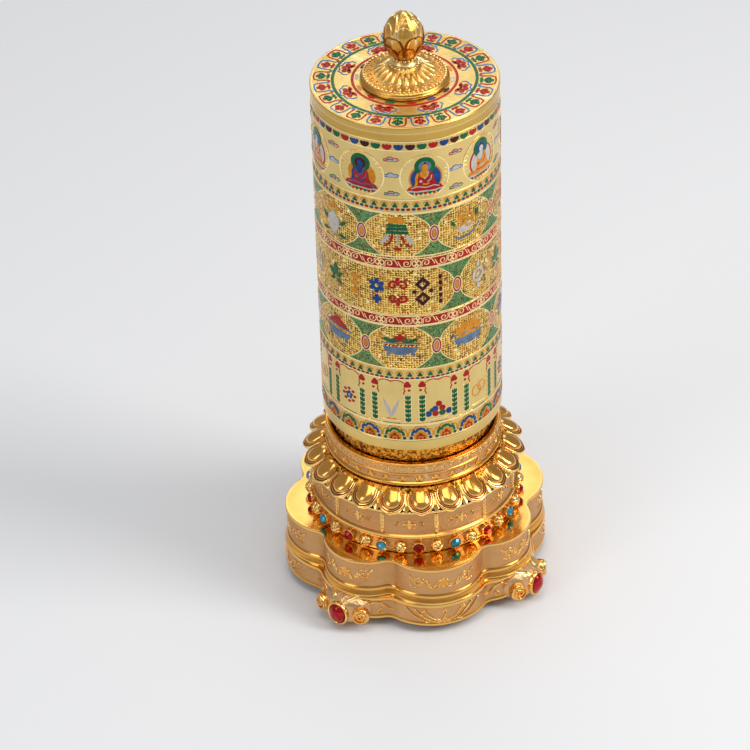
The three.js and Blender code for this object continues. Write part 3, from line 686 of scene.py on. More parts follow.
def moved(outline, dx, dy, sx=1.0, sy=1.0):
    return [(x * sx + dx, y * sy + dy) for x, y in outline]


def mirrored(outlines):
    return outlines + [[(-x, y) for x, y in reversed(outline)] for outline in outlines]


# ================================================================ laying cells on the drum and lid
SLICE = 1.6  # widest flat facet of a cell, so that it follows the drum
CELL_DEPTH = 0.25
WIRE = "wire"  # raised gold line
LAYERS = {"cell": 0.08, "over": 0.12, "top": 0.16, WIRE: 0.14}
HOOP_ROOT = 0.15  # how far a hoop sinks into the metal
HOOP_STEPS = 144
cells = {}


def slab(shapes, depth=CELL_DEPTH, ease=0.0):
    """Flat slabs with their tops at height 0. A shape is one outline, or a tuple of an outline and its
    holes; ease rounds the upper edges."""
    made = []
    for shape in shapes:
        curve = bpy.data.curves.new("cell", "CURVE")
        curve.dimensions = "2D"
        curve.fill_mode = "BOTH"
        curve.extrude = depth / 2 - ease
        curve.bevel_depth = ease
        curve.bevel_resolution = 1
        curve.offset = -ease
        for outline in shape if isinstance(shape, tuple) else (shape,):
            spline = curve.splines.new("POLY")
            spline.points.add(len(outline) - 1)
            spline.points.foreach_set("co", [c for x, y in outline for c in (x, y, 0, 1)])
            spline.use_cyclic_u = True
        piece = bpy.data.objects.new("cell", curve)
        piece.location.z = -depth / 2
        bpy.context.scene.collection.objects.link(piece)
        made.append(piece)
    deselect_all()
    for piece in made:
        piece.select_set(True)
    bpy.context.view_layer.objects.active = made[0]
    bpy.ops.object.convert(target="MESH")
    if len(made) > 1:
        bpy.ops.object.join()
    return tidy(apply_place(bpy.context.object), 1e-4)


def sliced(piece):
    xs = [v.co.x for v in piece.data.vertices]
    low, high = min(xs), max(xs)
    count = int((high - low) / SLICE)
    if count:
        edit(piece)
        for i in range(1, count + 1):
            x = low + (high - low) * i / (count + 1)
            bpy.ops.mesh.select_all(action="SELECT")
            bpy.ops.mesh.bisect(plane_co=(x, 0, 0), plane_no=(1, 0, 0))
        done()
    return piece


def keep_cells(piece, colour, zone):
    cells.setdefault((zone, colour), []).append(piece)


def on_drum(motif, azimuth, height, count=1, layer="cell"):
    """Lays a motif, outlines by colour, round the drum: azimuth in degrees, height above the drum's rim."""
    for colour, outlines in motif.items():
        piece = sliced(slab(outlines))
        lift = LAYERS[WIRE] if colour == WIRE else LAYERS[layer]
        for vertex in piece.data.vertices:
            x, y, z = vertex.co
            a = math.radians(azimuth) + x / DRUM_R
            r = (DRUM_R + lift + z) * MM
            vertex.co = (r * math.cos(a), r * math.sin(a), (drum_z + height + y) * MM)
        keep_cells(copies_around(piece, count), colour, "drum")


def on_lid(motif, azimuth, radius, count=1, layer="cell"):
    """Lays a motif on the lid: x across, y outwards from that radius."""
    for colour, outlines in motif.items():
        piece = slab(outlines)
        lift = LAYERS[WIRE] if colour == WIRE else LAYERS[layer]
        a = math.radians(azimuth)
        out = Vector((math.cos(a), math.sin(a), 0))
        across = Vector((math.sin(a), -math.cos(a), 0))
        for vertex in piece.data.vertices:
            x, y, z = vertex.co
            place = out * (radius + y) + across * x + Vector((0, 0, lid_z + lift + z))
            vertex.co = place * MM
        keep_cells(copies_around(piece, count), colour, "lid")


def hoop(colour, low, high):
    """A band of enamel or gold all the way round the drum between two heights."""
    lift = LAYERS[WIRE] if colour == WIRE else LAYERS["cell"]
    inner, outer = DRUM_R - HOOP_ROOT, DRUM_R + lift
    z0, z1 = drum_z + low, drum_z + high
    keep_cells(turned([(inner, z0), (outer, z0), (outer, z1), (inner, z1)], HOOP_STEPS), colour, "drum")


def lid_hoop(colour, inner, outer):
    lift = LAYERS[WIRE] if colour == WIRE else LAYERS["cell"]
    z0, z1 = lid_z - HOOP_ROOT, lid_z + lift
    keep_cells(turned([(inner, z0), (outer, z0), (outer, z1), (inner, z1)], HOOP_STEPS), colour, "lid")


def wire_hoops(half, *heights):
    """Raised gold lines round the drum, each that far above and below its height."""
    for height in heights:
        hoop(WIRE, height - half, height + half)


# ---------------------------------------------------------------- heights of the bands above the rim
NICHE_BAND = (4.9, 11.0)
ARCH_BAND = (11.9, 31.6)
LOWER_TREFOILS = 33.5
BOWL_BAND = (36.4, 54.9)
LOWER_SCROLLS = (55.3, 59.3)
MIDDLE_BAND = (59.8, 79.3)
UPPER_SCROLLS = (79.6, 83.6)
EMBLEM_BAND = (84.5, 102.2)
UPPER_TREFOILS = 105.3
FIGURE_BAND = (107.8, 127.8)
BEAD_ROW = 129.4
PLAIN_BAND = 131.4


def bead_row():
    bowl = arc(0, 0.3, 1.75, 180, 360, 12, 0.95) + arc(0, 0.3, 1.75, 0, 180, 8, 0.4)[1:-1]
    glint = stroke(arc(0, -0.35, 1.15, 40, 140, 8, 1.0), 0.22, 0.6)
    for i, colour in enumerate(("green", "red", "blue", "maroon")):
        azimuth = 239.9 + i * 360 / 52
        on_drum({colour: [bowl]}, azimuth, BEAD_ROW, 13)
        on_drum({WIRE: [glint]}, azimuth, BEAD_ROW + 0.3, 13, "top")


def trefoil_row(height):
    unit = {
        "orange": [stroke(arc(0, 0.3, 1.3, 10, 170, 8), 0.42)],
        "green": [bloom(0, 0.2, 0.6, 1.05, 3, 90, 4)],
    }
    on_drum(unit, 270, height, 56)
    for i, colour in enumerate(("blue", "red")):
        on_drum({colour: [oval(0, 0, 0.75, 0.55, 10)]}, 270 + (i - 0.5) * 180 / 56, height - 1.35, 56)


bead_row()
trefoil_row(UPPER_TREFOILS)
trefoil_row(LOWER_TREFOILS)


# ---------------------------------------------------------------- hourglass bands
def hourglass(half_height, half_width):
    """Two mottled triangles that meet an upright oval."""
    waist, oval_b = 1.5, 3.2

    def side(sign):
        edge = []
        for i in range(9):
            t = i / 8
            x = waist + (half_width - waist) * t ** 1.7
            y = oval_b * 0.82 + (half_height - oval_b * 0.82) * t
            edge.append((x, sign * y))
        return edge

    def triangle(sign):
        right = side(sign)
        left = [(-x, y) for x, y in right]
        return right + left[::-1] if sign > 0 else left + right[::-1]

    solid = {"mottle": [triangle(1), triangle(-1)]}
    rims = mirrored([stroke(side(1), 0.32), stroke(side(-1), 0.32)])
    eye = {
        "red": [
            (oval(0, 0, 1.75, oval_b, 24), oval(0, 0, 1.2, oval_b - 0.7, 20)),
            (oval(0, 0, 0.85, oval_b - 1.35, 16), oval(0, 0, 0.62, oval_b - 1.6, 14))
        ],
        "pale": [(oval(0, 0, 1.2, oval_b - 0.7, 20), oval(0, 0, 0.85, oval_b - 1.35, 16))],
        "orange": [oval(0, 0, 0.62, oval_b - 1.6, 14)],
    }
    return solid, {WIRE: rims + [(oval(0, 0, 2.05, oval_b + 0.3, 26), oval(0, 0, 1.75, oval_b, 24))]}, eye


def lay_hourglasses(band, half_width, first, count):
    """Hourglasses round a band; gives the height of the band's middle."""
    low, high = band
    middle = (low + high) / 2
    solid, rims, eye = hourglass((high - low) / 2, half_width)
    for motif, layer in ((solid, "cell"), (rims, "cell"), (eye, "over")):
        on_drum(motif, first, middle, count, layer)
    return middle


def parasol():
    tiers = [
        [
            (-3.6 + i * 0.25, 0.4 + i * 1.15), (3.6 - i * 0.25, 0.4 + i * 1.15),
            (3.4 - i * 0.25, 1.35 + i * 1.15), (-3.4 + i * 0.25, 1.35 + i * 1.15)
        ]
        for i in range(3)
    ]
    return {
        "orange": [arc(0, 4.0, 2.6, 0, 180, 10, 0.8)],
        "green": tiers,
        "red": mirrored(
            [leaf(-1.2, 0.2, 3.4, 0.9, 248), leaf(-2.3, -2.6, 2.8, 0.7, 215)]
        ) + [oval(0, -4.6, 1.3, 0.45, 12)],
        "pale": mirrored([leaf(-2.6, 0.2, 4.6, 1.5, 232)]) + [stroke([(0, 0.3), (0, -3.6)], 0.5)],
    }


def vase():
    body = [
        (-1.1, 2.4), (1.1, 2.4), (1.0, 1.6), (2.7, 0.2), (2.6, -2.2), (1.2, -4.2), (1.6, -5.0), (-1.6, -5.0),
        (-1.2, -4.2), (-2.6, -2.2), (-2.7, 0.2), (-1.0, 1.6)
    ]
    return {
        "pale": [body],
        "orange": [leaf(0, 3.0, 3.0, 1.6, 90), leaf(-0.8, 2.9, 2.6, 1.2, 130), leaf(0.8, 2.9, 2.6, 1.2, 50)],
        "green": mirrored([leaf(-2.9, -1.2, 3.6, 1.3, 150), leaf(-2.4, -4.6, 3.6, 1.2, 190)]),
    }


def shell_form():
    coil = spiral(0.5, 0.9, 3.1, 0.4, 200, -1.6)
    return {
        "orange": [stroke(coil, 0.85, 0.3), oval(-2.6, 2.6, 1.0, 0.9, 12)],
        "pale": [leaf(-3.6, -1.6, 6.8, 2.6, 8)],
        "sky": [stroke([(-5.0, -3.2), (-2.4, -4.3), (1.2, -3.9), (4.2, -2.4), (5.2, -1.2)], 0.6, 0.5)],
        "green": [leaf(3.6, 1.2, 2.6, 1.3, 60), leaf(-4.6, 0.4, 2.4, 1.1, 120)],
    }


def wheel_form():
    spokes = [
        stroke([(0.8 * math.cos(a), 0.8 * math.sin(a)), (3.0 * math.cos(a), 3.0 * math.sin(a))], 0.5)
        for a in (FULL_TURN * i / 8 for i in range(8))
    ]
    return {
        "orange": [(oval(0, 0.6, 4.1, 4.1, 32), oval(0, 0.6, 3.3, 3.3, 28))],
        "red": [moved(s, 0, 0.6) for s in spokes],
        "blue": [oval(0, 0.6, 0.75, 0.75, 12)],
        "green": mirrored([leaf(-0.6, -4.4, 4.2, 1.5, 168)]),
        "pale": [leaf(0, -4.9, 1.5, 1.2, 90)],
    }


def dish(colour_row="orange"):
    """A footed dish with a beaded rim, for the offerings."""
    bowl = [
        (-4.6, 0.2), (4.6, 0.2), (3.9, -1.9), (2.4, -2.3), (1.2, -3.2), (-1.2, -3.2), (-2.4, -2.3),
        (-3.9, -1.9)
    ]
    feet = mirrored([leaf(-2.9, -2.1, 2.0, 0.9, 250)])
    dashes = [stroke([(-3.9 + i * 0.97, 0.35), (-3.5 + i * 0.97, 1.25)], 0.42) for i in range(9)]
    rim = [(-5.1, 1.5), (5.1, 1.5), (4.9, 2.0), (-4.9, 2.0)]
    return {"sky": [bowl, rim] + feet, colour_row: dashes}


def flowers():
    return {
        "red": [bloom(0, 3.9, 0.9, 1.7, 5), oval(-1.3, 3.1, 0.6, 0.5, 8)],
        "green": mirrored(
            [
                leaf(-0.9, 2.3, 4.0, 1.2, 162), leaf(-3.0, 2.3, 2.2, 1.0, 120),
                leaf(-0.4, 2.3, 1.4, 0.9, 110), leaf(-1.8, 2.5, 2.2, 0.9, 75), leaf(-3.5, 2.4, 1.6, 0.8, 45),
                leaf(-2.2, 2.4, 2.4, 0.8, 140)
            ]
        ),
    }


def heap():
    return {"red": [[(-4.2, 2.2), (4.2, 2.2), (2.6, 3.6), (0.9, 5.4), (0, 6.4), (-0.9, 5.4), (-2.6, 3.6)]]}


def fruit():
    return {
        "orange": [
            oval(-2.7, 3.0, 1.35), oval(0.1, 3.1, 1.4), oval(2.9, 3.0, 1.35), oval(-1.3, 5.3, 1.3),
            oval(1.5, 5.3, 1.3)
        ]
    }


def jewels():
    return {
        "blue": [oval(-2.6, 3.0, 1.2), oval(1.3, 5.2, 1.1)], "red": [oval(0, 3.1, 1.25), oval(2.6, 3.0, 1.2)],
        "pale": [oval(-1.3, 5.2, 1.1)]
    }


def widened(motif, across, up):
    grown = {}
    for colour, shapes in motif.items():
        grown[colour] = [
            tuple(
                moved(o, 0, 0, across, up) for o in shape
            ) if isinstance(shape, tuple) else moved(shape, 0, 0, across, up)
            for shape in shapes
        ]
    return grown


def lattice(band, first, emblems, across, up):
    """Eight hourglasses and eight emblems between them, the four emblem kinds in turn."""
    low, high = band
    middle = lay_hourglasses(band, 8.3, first, 8)
    for i, emblem in enumerate(emblems):
        for layer, motif in zip(("cell", "over"), emblem):
            on_drum(widened(motif, across, up), first + 22.5 + 45 * i, middle, 2, layer)
    wire_hoops(0.22, low, high)


lattice(EMBLEM_BAND, 274.1, [(shell_form(),), (wheel_form(),), (vase(),), (parasol(),)], 1.12, 1.25)
lattice(
    BOWL_BAND, 274.4,
    [(dish(), fruit()), (dish("red"), jewels()), (dish(), heap()), (dish("red"), flowers())], 1.4, 1.0
)


# ---------------------------------------------------------------- scroll bands
def scroll_band(band):
    low, high = band
    middle = (low + high) / 2
    hoop("red", low + 0.25, high - 0.25)
    hoop(WIRE, low - 0.1, low + 0.25)
    hoop(WIRE, high - 0.25, high + 0.1)
    half = FULL_TURN * DRUM_R / 32
    knot = mirrored([stroke(arc(0.78, 0, 0.72, 0, 350, 14, 1.5), 0.34)])
    knot += [stroke(arc(0, 0.95, 0.62, 0, 350, 12), 0.32), stroke(arc(0, -0.95, 0.62, 0, 350, 12), 0.32)]
    coil = stroke(spiral(half * 0.52, 0, 1.6, 0.3, 215, -1.35), 0.36, 0.25)
    join = stroke([(1.3, -1.5), (half * 0.52 - 1.3, -0.95)], 0.36, 0.3)
    tail = stroke(
        [(half * 0.52 + 0.9, 1.3), (half * 0.52 + 1.9, 1.5), (half - 0.7, 0.6), (half, -0.9)], 0.36, 0.3
    )
    for turn_over in (1, -1):
        for outline in (coil, join, tail):
            shape = [(x * turn_over, y * turn_over) for x, y in outline]
            on_drum({WIRE: [shape]}, 240.4, middle, 16)
    for outline in knot:
        on_drum({WIRE: [outline]}, 240.4, middle, 16)


scroll_band(LOWER_SCROLLS)
scroll_band(UPPER_SCROLLS)


# ---------------------------------------------------------------- niches above the rim
def niche_row(band):
    low, high = band
    half = (high - low) / 2
    for i, colour in enumerate(("green", "blue")):
        azimuth = 246.9 + i * 360 / 22
        middle = low + half
        cusps = [
            (-4.5, -0.6), (-4.0, 1.1), (-2.5, 1.5), (-1.7, 2.6), (0, 3.0), (1.7, 2.6), (2.5, 1.5), (4.0, 1.1),
            (4.5, -0.6)
        ]
        crown = [
            (-3.2, -1.3), (-2.9, 0.2), (-1.7, 0.5), (-1.1, 1.4), (0, 1.75), (1.1, 1.4), (1.7, 0.5),
            (2.9, 0.2), (3.2, -1.3)
        ]
        inside = [
            (-2.3, -half + 0.1), (-2.5, -1.0), (-1.3, -0.1), (0, 0.9), (1.3, -0.1), (2.5, -1.0),
            (2.3, -half + 0.1)
        ]
        on_drum({"orange": [stroke(cusps, 0.5), inside]}, azimuth, middle, 11)
        dots = mirrored([oval(-3.5, -2.4, 0.7, 0.6, 8)]) + mirrored([oval(-2.5, 1.3, 0.4, 0.4, 6)])
        on_drum({colour: [stroke(crown, 1.0)] + dots}, azimuth, middle, 11, "over")
        bud = [
            oval(0, -0.6, 0.62, 0.55, 8), stroke([(-1.5, -1.5), (0, -1.1), (1.5, -1.5)], 0.55),
            oval(0, -2.5, 0.5, 0.45, 8)
        ]
        bud += mirrored([oval(-1.3, -2.4, 0.5, 0.5, 8)])
        on_drum({"red": bud}, azimuth, middle, 11, "top")
        on_drum({"orange": [oval(0, 0, 0.6, 0.8, 4)]}, azimuth + 180 / 22, middle - 1.2, 11)
    wire_hoops(0.2, low - 0.15, high + 0.3)


# ---------------------------------------------------------------- arches with leaf columns
def arch_row(band):
    low, high = band
    base = low + 0.4
    column = [stroke([(-6.1, 0.6), (-6.1, 12.4)], 0.4)]
    for i in range(6):
        column += [
            leaf(-6.1, 0.8 + i * 1.95, 2.0, 1.25, 125, 5), leaf(-6.1, 0.8 + i * 1.95, 2.0, 1.25, 55, 5)
        ]
    swag = [
        stroke(
            [(-5.0, 17.6), (-3.6, 18.6), (-2.0, 19.0), (0, 18.3), (2.0, 19.0), (3.6, 18.6), (5.0, 17.6)], 0.4,
            0.4
        )
    ]
    tassel = mirrored([bloom(-6.0, 17.0, 0.8, 1.5, 3, 90, 5)])
    squiggle = mirrored(
        [
            stroke([(-5.2, 16.2), (-4.7, 15.2), (-5.1, 14.2), (-4.5, 13.3), (-4.9, 12.6)], 0.5, 0.5),
            oval(-6.6, 14.6, 0.55, 0.5, 8)
        ]
    )
    posts = mirrored([stroke([(-7.3, 0.4), (-7.3, 12.7)], 0.22), stroke([(-4.9, 0.4), (-4.9, 12.7)], 0.22)])
    on_drum({"green": mirrored(column), "red": swag + tassel + squiggle}, 245.1, base, 12)
    on_drum({WIRE: posts}, 245.1, base, 12)
    feet = mirrored([stroke([(-8.0 + i * 1.0, -0.3), (-7.4 + i * 1.0, -0.3)], 0.35) for i in range(4)])
    on_drum({"orange": feet, "mottle": [stroke([(-3.2, -0.2), (3.2, -0.2)], 0.35)]}, 245.1, base, 12)
    rose = {
        "blue": [bloom(0, 7.0, 1.0, 1.8, 5)],
        "red": [
            moved(oval(0, 0, 0.75, 0.6, 8), 2.6 * math.cos(a), 7.0 + 2.8 * math.sin(a))
            for a in (FULL_TURN * i / 8 for i in range(8))
        ],
        "pale": [oval(0, 7.0, 0.6, 0.6, 8)],
    }
    ribbon = {
        "pale": mirrored([leaf(0, 2.4, 8.6, 1.5, 110)]),
        "orange": [stroke([(-2.4, 1.2), (-1.0, 2.0), (0, 1.3), (1.0, 2.0), (2.4, 1.2)], 0.45)],
    }
    pile = {
        "red": [oval(-1.3, 3.5, 1.25), oval(0, 7.6, 1.2), oval(1.3, 5.5, 1.2)],
        "blue": [oval(-3.9, 3.6, 1.25), oval(-1.4, 5.6, 1.2), oval(3.9, 3.6, 1.25)],
        "green": [oval(1.3, 3.4, 1.25), oval(-2.7, 5.1, 0.8)],
    }
    mirror_disc = {
        "orange": [
            (oval(-1.2, 7.2, 2.3, 2.5, 22), oval(-1.2, 7.2, 1.9, 2.1, 20)),
            (oval(1.5, 8.2, 2.1, 2.3, 22), oval(1.5, 8.2, 1.7, 1.9, 20))
        ]
    }
    for i, content in enumerate((ribbon, pile, mirror_disc, rose)):
        on_drum(content, 245.1 + i * 30, base, 3)
        if i < 3:
            on_drum({WIRE: [stroke([(-3.4, 1.3), (3.4, 1.3)], 0.4)]}, 245.1 + i * 30, base, 3)
    wire_hoops(0.2, low - 0.1, high + 0.1)


niche_row(NICHE_BAND)
arch_row(ARCH_BAND)


# ---------------------------------------------------------------- middle band of abstract ornaments
def knot_ornament(kind):
    """Six interlaced ornaments, each about 6 mm wide and 11 mm tall, and all unlike writing."""
    ring_shape = (oval(0, 0, 2.9, 2.9, 22), oval(0, 0, 1.9, 1.9, 20))
    if kind == 0:
        return [
            ring_shape, oval(0, 0, 0.8, 0.8, 10), leaf(0, 3.2, 2.8, 1.6, 90), leaf(0, -3.2, 2.8, 1.6, 270)
        ]
    if kind == 1:
        return [leaf(0, -0.2, 5.4, 2.6, 90)] + mirrored(
            [leaf(-0.4, -0.6, 4.0, 1.7, 142), leaf(-0.4, -1.6, 3.2, 1.3, 200)]
        )
    if kind == 2:
        return [leaf(0, y, 2.7, 3.6, 90) for y in (2.2, -0.9, -4.0)]
    if kind == 3:
        return [(bloom(0, 1.8, 1.7, 3.1, 6), oval(0, 1.8, 0.8, 0.8, 10)), bloom(0, -3.8, 0.9, 1.9, 4)]
    if kind == 4:
        curls = [
            stroke(spiral(-1.75, 2.7, 1.9, 0.5, 0, 1.15), 0.8),
            stroke(spiral(-1.75, -2.7, 1.9, 0.5, 0, -1.15), 0.8)
        ]
        return mirrored(curls) + [oval(0, 5.2, 0.7, 0.9, 8), oval(0, -5.2, 0.7, 0.9, 8)]
    return [([(0, 6.2), (2.8, 3.1), (0, 0.1), (-2.8, 3.1)], [(0, 4.4), (1.3, 3.1), (0, 1.7), (-1.3, 3.1)]),
            (
                [(0, -0.1), (2.8, -3.1), (0, -6.2), (-2.8, -3.1)],
                [(0, -1.7), (1.3, -3.1), (0, -4.4), (-1.3, -3.1)]
            )] + mirrored([oval(-3.0, 0, 0.8, 0.8, 8)])


def middle_band(band):
    low, high = band
    middle = lay_hourglasses(band, 8.2, 288.7, 3)
    places = (
        ("pale", 305.4), ("green", 206.9), ("orange", 222.7), ("blue", 237.9), ("red", 251.2),
        ("maroon", 266.4)
    )
    for kind, (colour, azimuth) in enumerate(places):
        on_drum({colour: knot_ornament(kind)}, azimuth, middle, 3, "over")
    bars = [oval(0, y, 0.75, 0.95, 8) for y in (-5.2, -2.6, 0, 2.6, 5.2)]
    on_drum({"maroon": bars}, 277.5, middle, 3, "over")
    wire_hoops(0.15, low + 0.1, high - 0.1)


middle_band(MIDDLE_BAND)


# ---------------------------------------------------------------- seated figures in medallions
def calm_face(x, y, r):
    """A plain head seen from the front: closed lids under level brows, a straight nose, a small mouth."""
    lids = mirrored([stroke(arc(x - 0.38 * r, y + 0.05 * r, 0.24 * r, 200, 340, 5), 0.09 * r)])
    brows = mirrored([stroke(arc(x - 0.38 * r, y + 0.12 * r, 0.28 * r, 35, 145, 5), 0.08 * r)])
    nose = [stroke([(x, y + 0.1 * r), (x, y - 0.28 * r)], 0.09 * r)]
    mouth = [stroke(arc(x, y - 0.38 * r, 0.24 * r, 215, 325, 5), 0.09 * r)]
    return lids + brows + nose + mouth


def figure(body, robe, sash, aura, aura_rim, glow):
    """A seated figure on a lotus seat, before an aura, with a green halo round the head."""
    back = {
        aura_rim: [(oval(0.3, -0.6, 6.0, 6.0, 34), oval(0.3, -0.6, 5.4, 5.4, 32))],
        aura: [oval(0.3, -0.6, 5.4, 5.4, 32)],
    }
    halo = {
        "green": [(oval(0, 4.3, 3.7, 3.6, 28), oval(0, 4.3, 2.2, 2.1, 22))],
        glow: [oval(0, 4.3, 2.2, 2.1, 22)]
    }
    cloth = [
        (-6.4, -5.0), (-5.7, -3.9), (-3.9, -3.2), (-3.2, -1.4), (-3.0, 0.6), (-2.3, 2.0), (-0.9, 2.7),
        (0.9, 2.7), (2.4, 1.9), (3.1, 0.4), (3.2, -1.5), (4.1, -3.1), (5.8, -3.9), (6.4, -5.0), (3.6, -5.5),
        (-3.6, -5.5)
    ]
    chest = [(-0.8, 2.9), (-2.0, 1.9), (-1.7, 0.5), (-0.4, -0.5), (0.7, 0.4), (1.0, 1.6), (0.8, 2.9)]
    arm = [
        stroke([(-2.4, 1.7), (-3.1, -0.4), (-3.0, -2.2), (-3.6, -3.9)], 0.85),
        stroke([(-0.9, -2.6), (0.4, -2.9), (1.5, -2.5)], 0.6)
    ]
    folds = [
        stroke([(1.2, 2.2), (0.9, 0.6), (-0.3, -0.7)], 0.36),
        stroke([(2.3, 0.6), (2.0, -1.0), (0.8, -2.0)], 0.34),
        stroke([(-5.0, -4.2), (-2.4, -3.6), (0.4, -4.2), (3.2, -3.6), (5.0, -4.3)], 0.36)
    ]
    dress = {body: [chest] + arm, sash: folds + [oval(-1.5, -1.6, 0.55, 0.5, 8)]}
    head = {
        body: [oval(0, 4.0, 1.1, 1.3, 18), [(-0.5, 3.2), (0.5, 3.2), (0.8, 2.5), (-0.8, 2.5)]],
        "maroon": [arc(0, 4.5, 1.1, 0, 180, 8, 0.85), oval(0, 5.6, 0.45, 0.45, 8)]
    }
    seat = {
        "green": [leaf(x, -5.5, 1.7, 1.7, 270, 5) for x in (-4.6, -1.6, 1.6, 4.6)],
        "red": [leaf(x, -5.6, 1.6, 1.4, 270, 5) for x in (-3.1, 0.0, 3.1)],
        "blue": mirrored([oval(-5.7, -5.9, 0.7, 0.5, 8)]),
    }
    pale = {"pale": [stroke([(-6.2, -5.3), (-3.0, -5.75), (0, -5.6), (3.0, -5.75), (6.2, -5.3)], 0.5)]}
    lines = {WIRE: calm_face(0, 3.95, 1.1)}
    return (
        ("cell", back), ("over", halo), ("over", {robe: [cloth]}), ("over", seat), ("top", pale),
        ("top", dress), ("top", head), ("top", lines)
    )


def figure_band(band):
    low, high = band
    centre = 116.8
    kinds = (
        figure("blue", "red", "azure", "orange", "orange", "maroon"),
        figure("orange", "red", "pale", "blue", "orange", "sky"),
        figure("pale", "orange", "red", "pale", "red", "blue")
    )
    ring_line = {WIRE: [(oval(0, 0.2, 8.9, 8.9, 44), oval(0, 0.2, 8.35, 8.35, 44))]}
    rays = {
        WIRE: [
            stroke(
                [(7.25 * math.cos(a), 0.6 + 7.6 * math.sin(a)), (8.2 * math.cos(a), 0.4 + 8.3 * math.sin(a))],
                0.16
            )
            for a in (FULL_TURN * i / 30 for i in range(30))
        ]
    }
    for kind, azimuth in zip(kinds, (229.6, 269.2, 309.2)):
        on_drum(ring_line, azimuth, centre, 3)
        on_drum(rays, azimuth, centre, 3)
        for layer, motif in kind:
            on_drum(motif, azimuth, centre, 3, layer)
    cloud = [
        (-2.6, -0.6), (-2.5, 0.1), (-1.5, 0.2), (-1.1, 0.85), (0.2, 0.95), (0.8, 0.35), (1.9, 0.45),
        (2.7, -0.1), (1.8, -0.6)
    ]
    swirl = stroke([(-1.5, -0.15), (-0.3, 0.25), (0.9, -0.15)], 0.3)
    for colour, filling, height in (
        ("red", "green", 124.2), ("azure", "pale", 117.8), ("green", "red", 110.4)
    ):
        on_drum({"pale": [cloud], colour: [stroke(cloud + cloud[:1], 0.42)]}, 249.2, height, 9)
        on_drum({filling: [swirl]}, 249.2, height, 9, "top")
    wire_hoops(0.2, low, high)
    hoop(WIRE, 102.5, 102.8)
    hoop(WIRE, PLAIN_BAND - 0.35, PLAIN_BAND)


figure_band(FIGURE_BAND)


# ---------------------------------------------------------------- the lid's rings of ornament
def lid_art():
    for i, (rim, heart) in enumerate((("red", "green"), ("azure", "red"))):
        azimuth = 253 + 15 * i
        sides = [(-2.6, -2.9), (-2.9, 0.9), (-2.3, 2.3), (0, 2.75), (2.3, 2.3), (2.9, 0.9), (2.6, -2.9)]
        plant = [oval(0, 1.25, 0.9, 0.8, 8), stroke([(0, 0.9), (0, -2.8)], 0.7)]
        plant += mirrored(
            [
                oval(-1.25, 0.3, 0.8, 0.75, 8), leaf(-0.1, -1.1, 2.0, 1.1, 150, 5),
                leaf(-0.1, -2.8, 1.9, 1.1, 155, 5)
            ]
        )
        on_lid({rim: [stroke(sides, 0.62)]}, azimuth, 29.0, 12)
        on_lid({heart: plant}, azimuth, 29.0, 12)
        on_lid({rim: [[(-0.7, -3.2), (0.7, -3.2), (0, -2.0)]]}, azimuth + 7.5, 29.0, 12)
    lid_hoop(WIRE, 32.0, 32.3)
    lid_hoop("green", 24.5, 25.6)
    lid_hoop("red", 17.7, 18.7)
    puffs = [
        (-4.1, -1.9), (-4.6, -0.5), (-3.6, 0.7), (-3.1, 1.8), (-1.4, 1.9), (0, 2.9), (1.4, 1.9), (3.1, 1.8),
        (3.6, 0.7), (4.6, -0.5), (4.1, -1.9)
    ]
    hole = oval(0, -0.1, 0.42, 0.42, 8)
    fleur = [(oval(0, 0.6, 1.35, 1.45, 14), hole), stroke([(-2.0, -1.2), (0, -0.7), (2.0, -1.2)], 1.0)]
    fleur += mirrored([oval(-2.0, 0.35, 1.1, 0.95, 12), leaf(-0.6, -1.3, 3.0, 1.4, 188)])
    on_lid({"azure": [stroke(puffs, 0.55)]}, 237.4, 21.6, 8)
    on_lid({"red": fleur}, 237.4, 21.3, 8, "over")
    for i, colour in enumerate(("green", "red", "blue", "maroon", "pale", "orange", "red")):
        on_lid({colour: [oval(0, 0, 1.9, 0.7, 10)]}, 240 + i * 360 / 14, 16.7, 2)


lid_art()


def finish_cells():
    for (zone, colour), group in cells.items():
        piece = coated(merge(group), DEEP_POLISHED if colour == WIRE else ENAMELS[colour])
        soften(piece, 30)
        slot = "pale_gold_plate" if colour == WIRE else ENAMEL_SLOTS.get(colour, "enamel_" + colour)
        settle(piece, zone + "_cells_" + colour, "drum", slot)


finish_cells()


# ================================================================ building the castings
def both_sides(half):
    """A closed outline from its right half, which starts and ends on the middle line."""
    return half + [(-x, y) for x, y in half[-2:0:-1]]


def raised(outline, steps):
    """An outline filled flat, then extruded and scaled once for each (rise, shrink) or (rise, shrink
    across, shrink up)."""
    piece = drawn([(x, y, 0) for x, y in outline], [], [list(range(len(outline)))])
    edit(piece)
    for rise, shrink, *tall in steps:
        bpy.ops.mesh.extrude_region_move(TRANSFORM_OT_translate={"value": (0, 0, rise * MM)})
        bpy.ops.transform.resize(value=(shrink, tall[0] if tall else shrink, 1), center_override=(0, 0, 0))
    done()
    return tidy(piece)


def stood(piece, azimuth, r, z, lean=0.0):
    """Stands a piece made flat on the table against the base: its X along the rim, its Y up and its Z
    outwards; lean tips it back towards facing up."""
    a, tip = math.radians(azimuth), math.radians(lean)
    up = Vector((0, 0, 1))
    along = Vector((-math.sin(a), math.cos(a), 0))
    out = Vector((math.cos(a), math.sin(a), 0))
    face = out * math.cos(tip) + up * math.sin(tip)
    head = up * math.cos(tip) - out * math.sin(tip)
    place = Matrix((along, head, face)).transposed().to_4x4()
    place.translation = (out * r + up * z) * MM
    piece.matrix_world = place @ piece.matrix_world
    return apply_place(piece)


def relief(shapes, depth, ease):
    """Slabs with eased edges, in metres, with their backs at height 0."""
    piece = slab(shapes, depth, ease)
    piece.location.z = depth * MM
    piece.scale = (MM, MM, MM)
    return apply_place(piece)


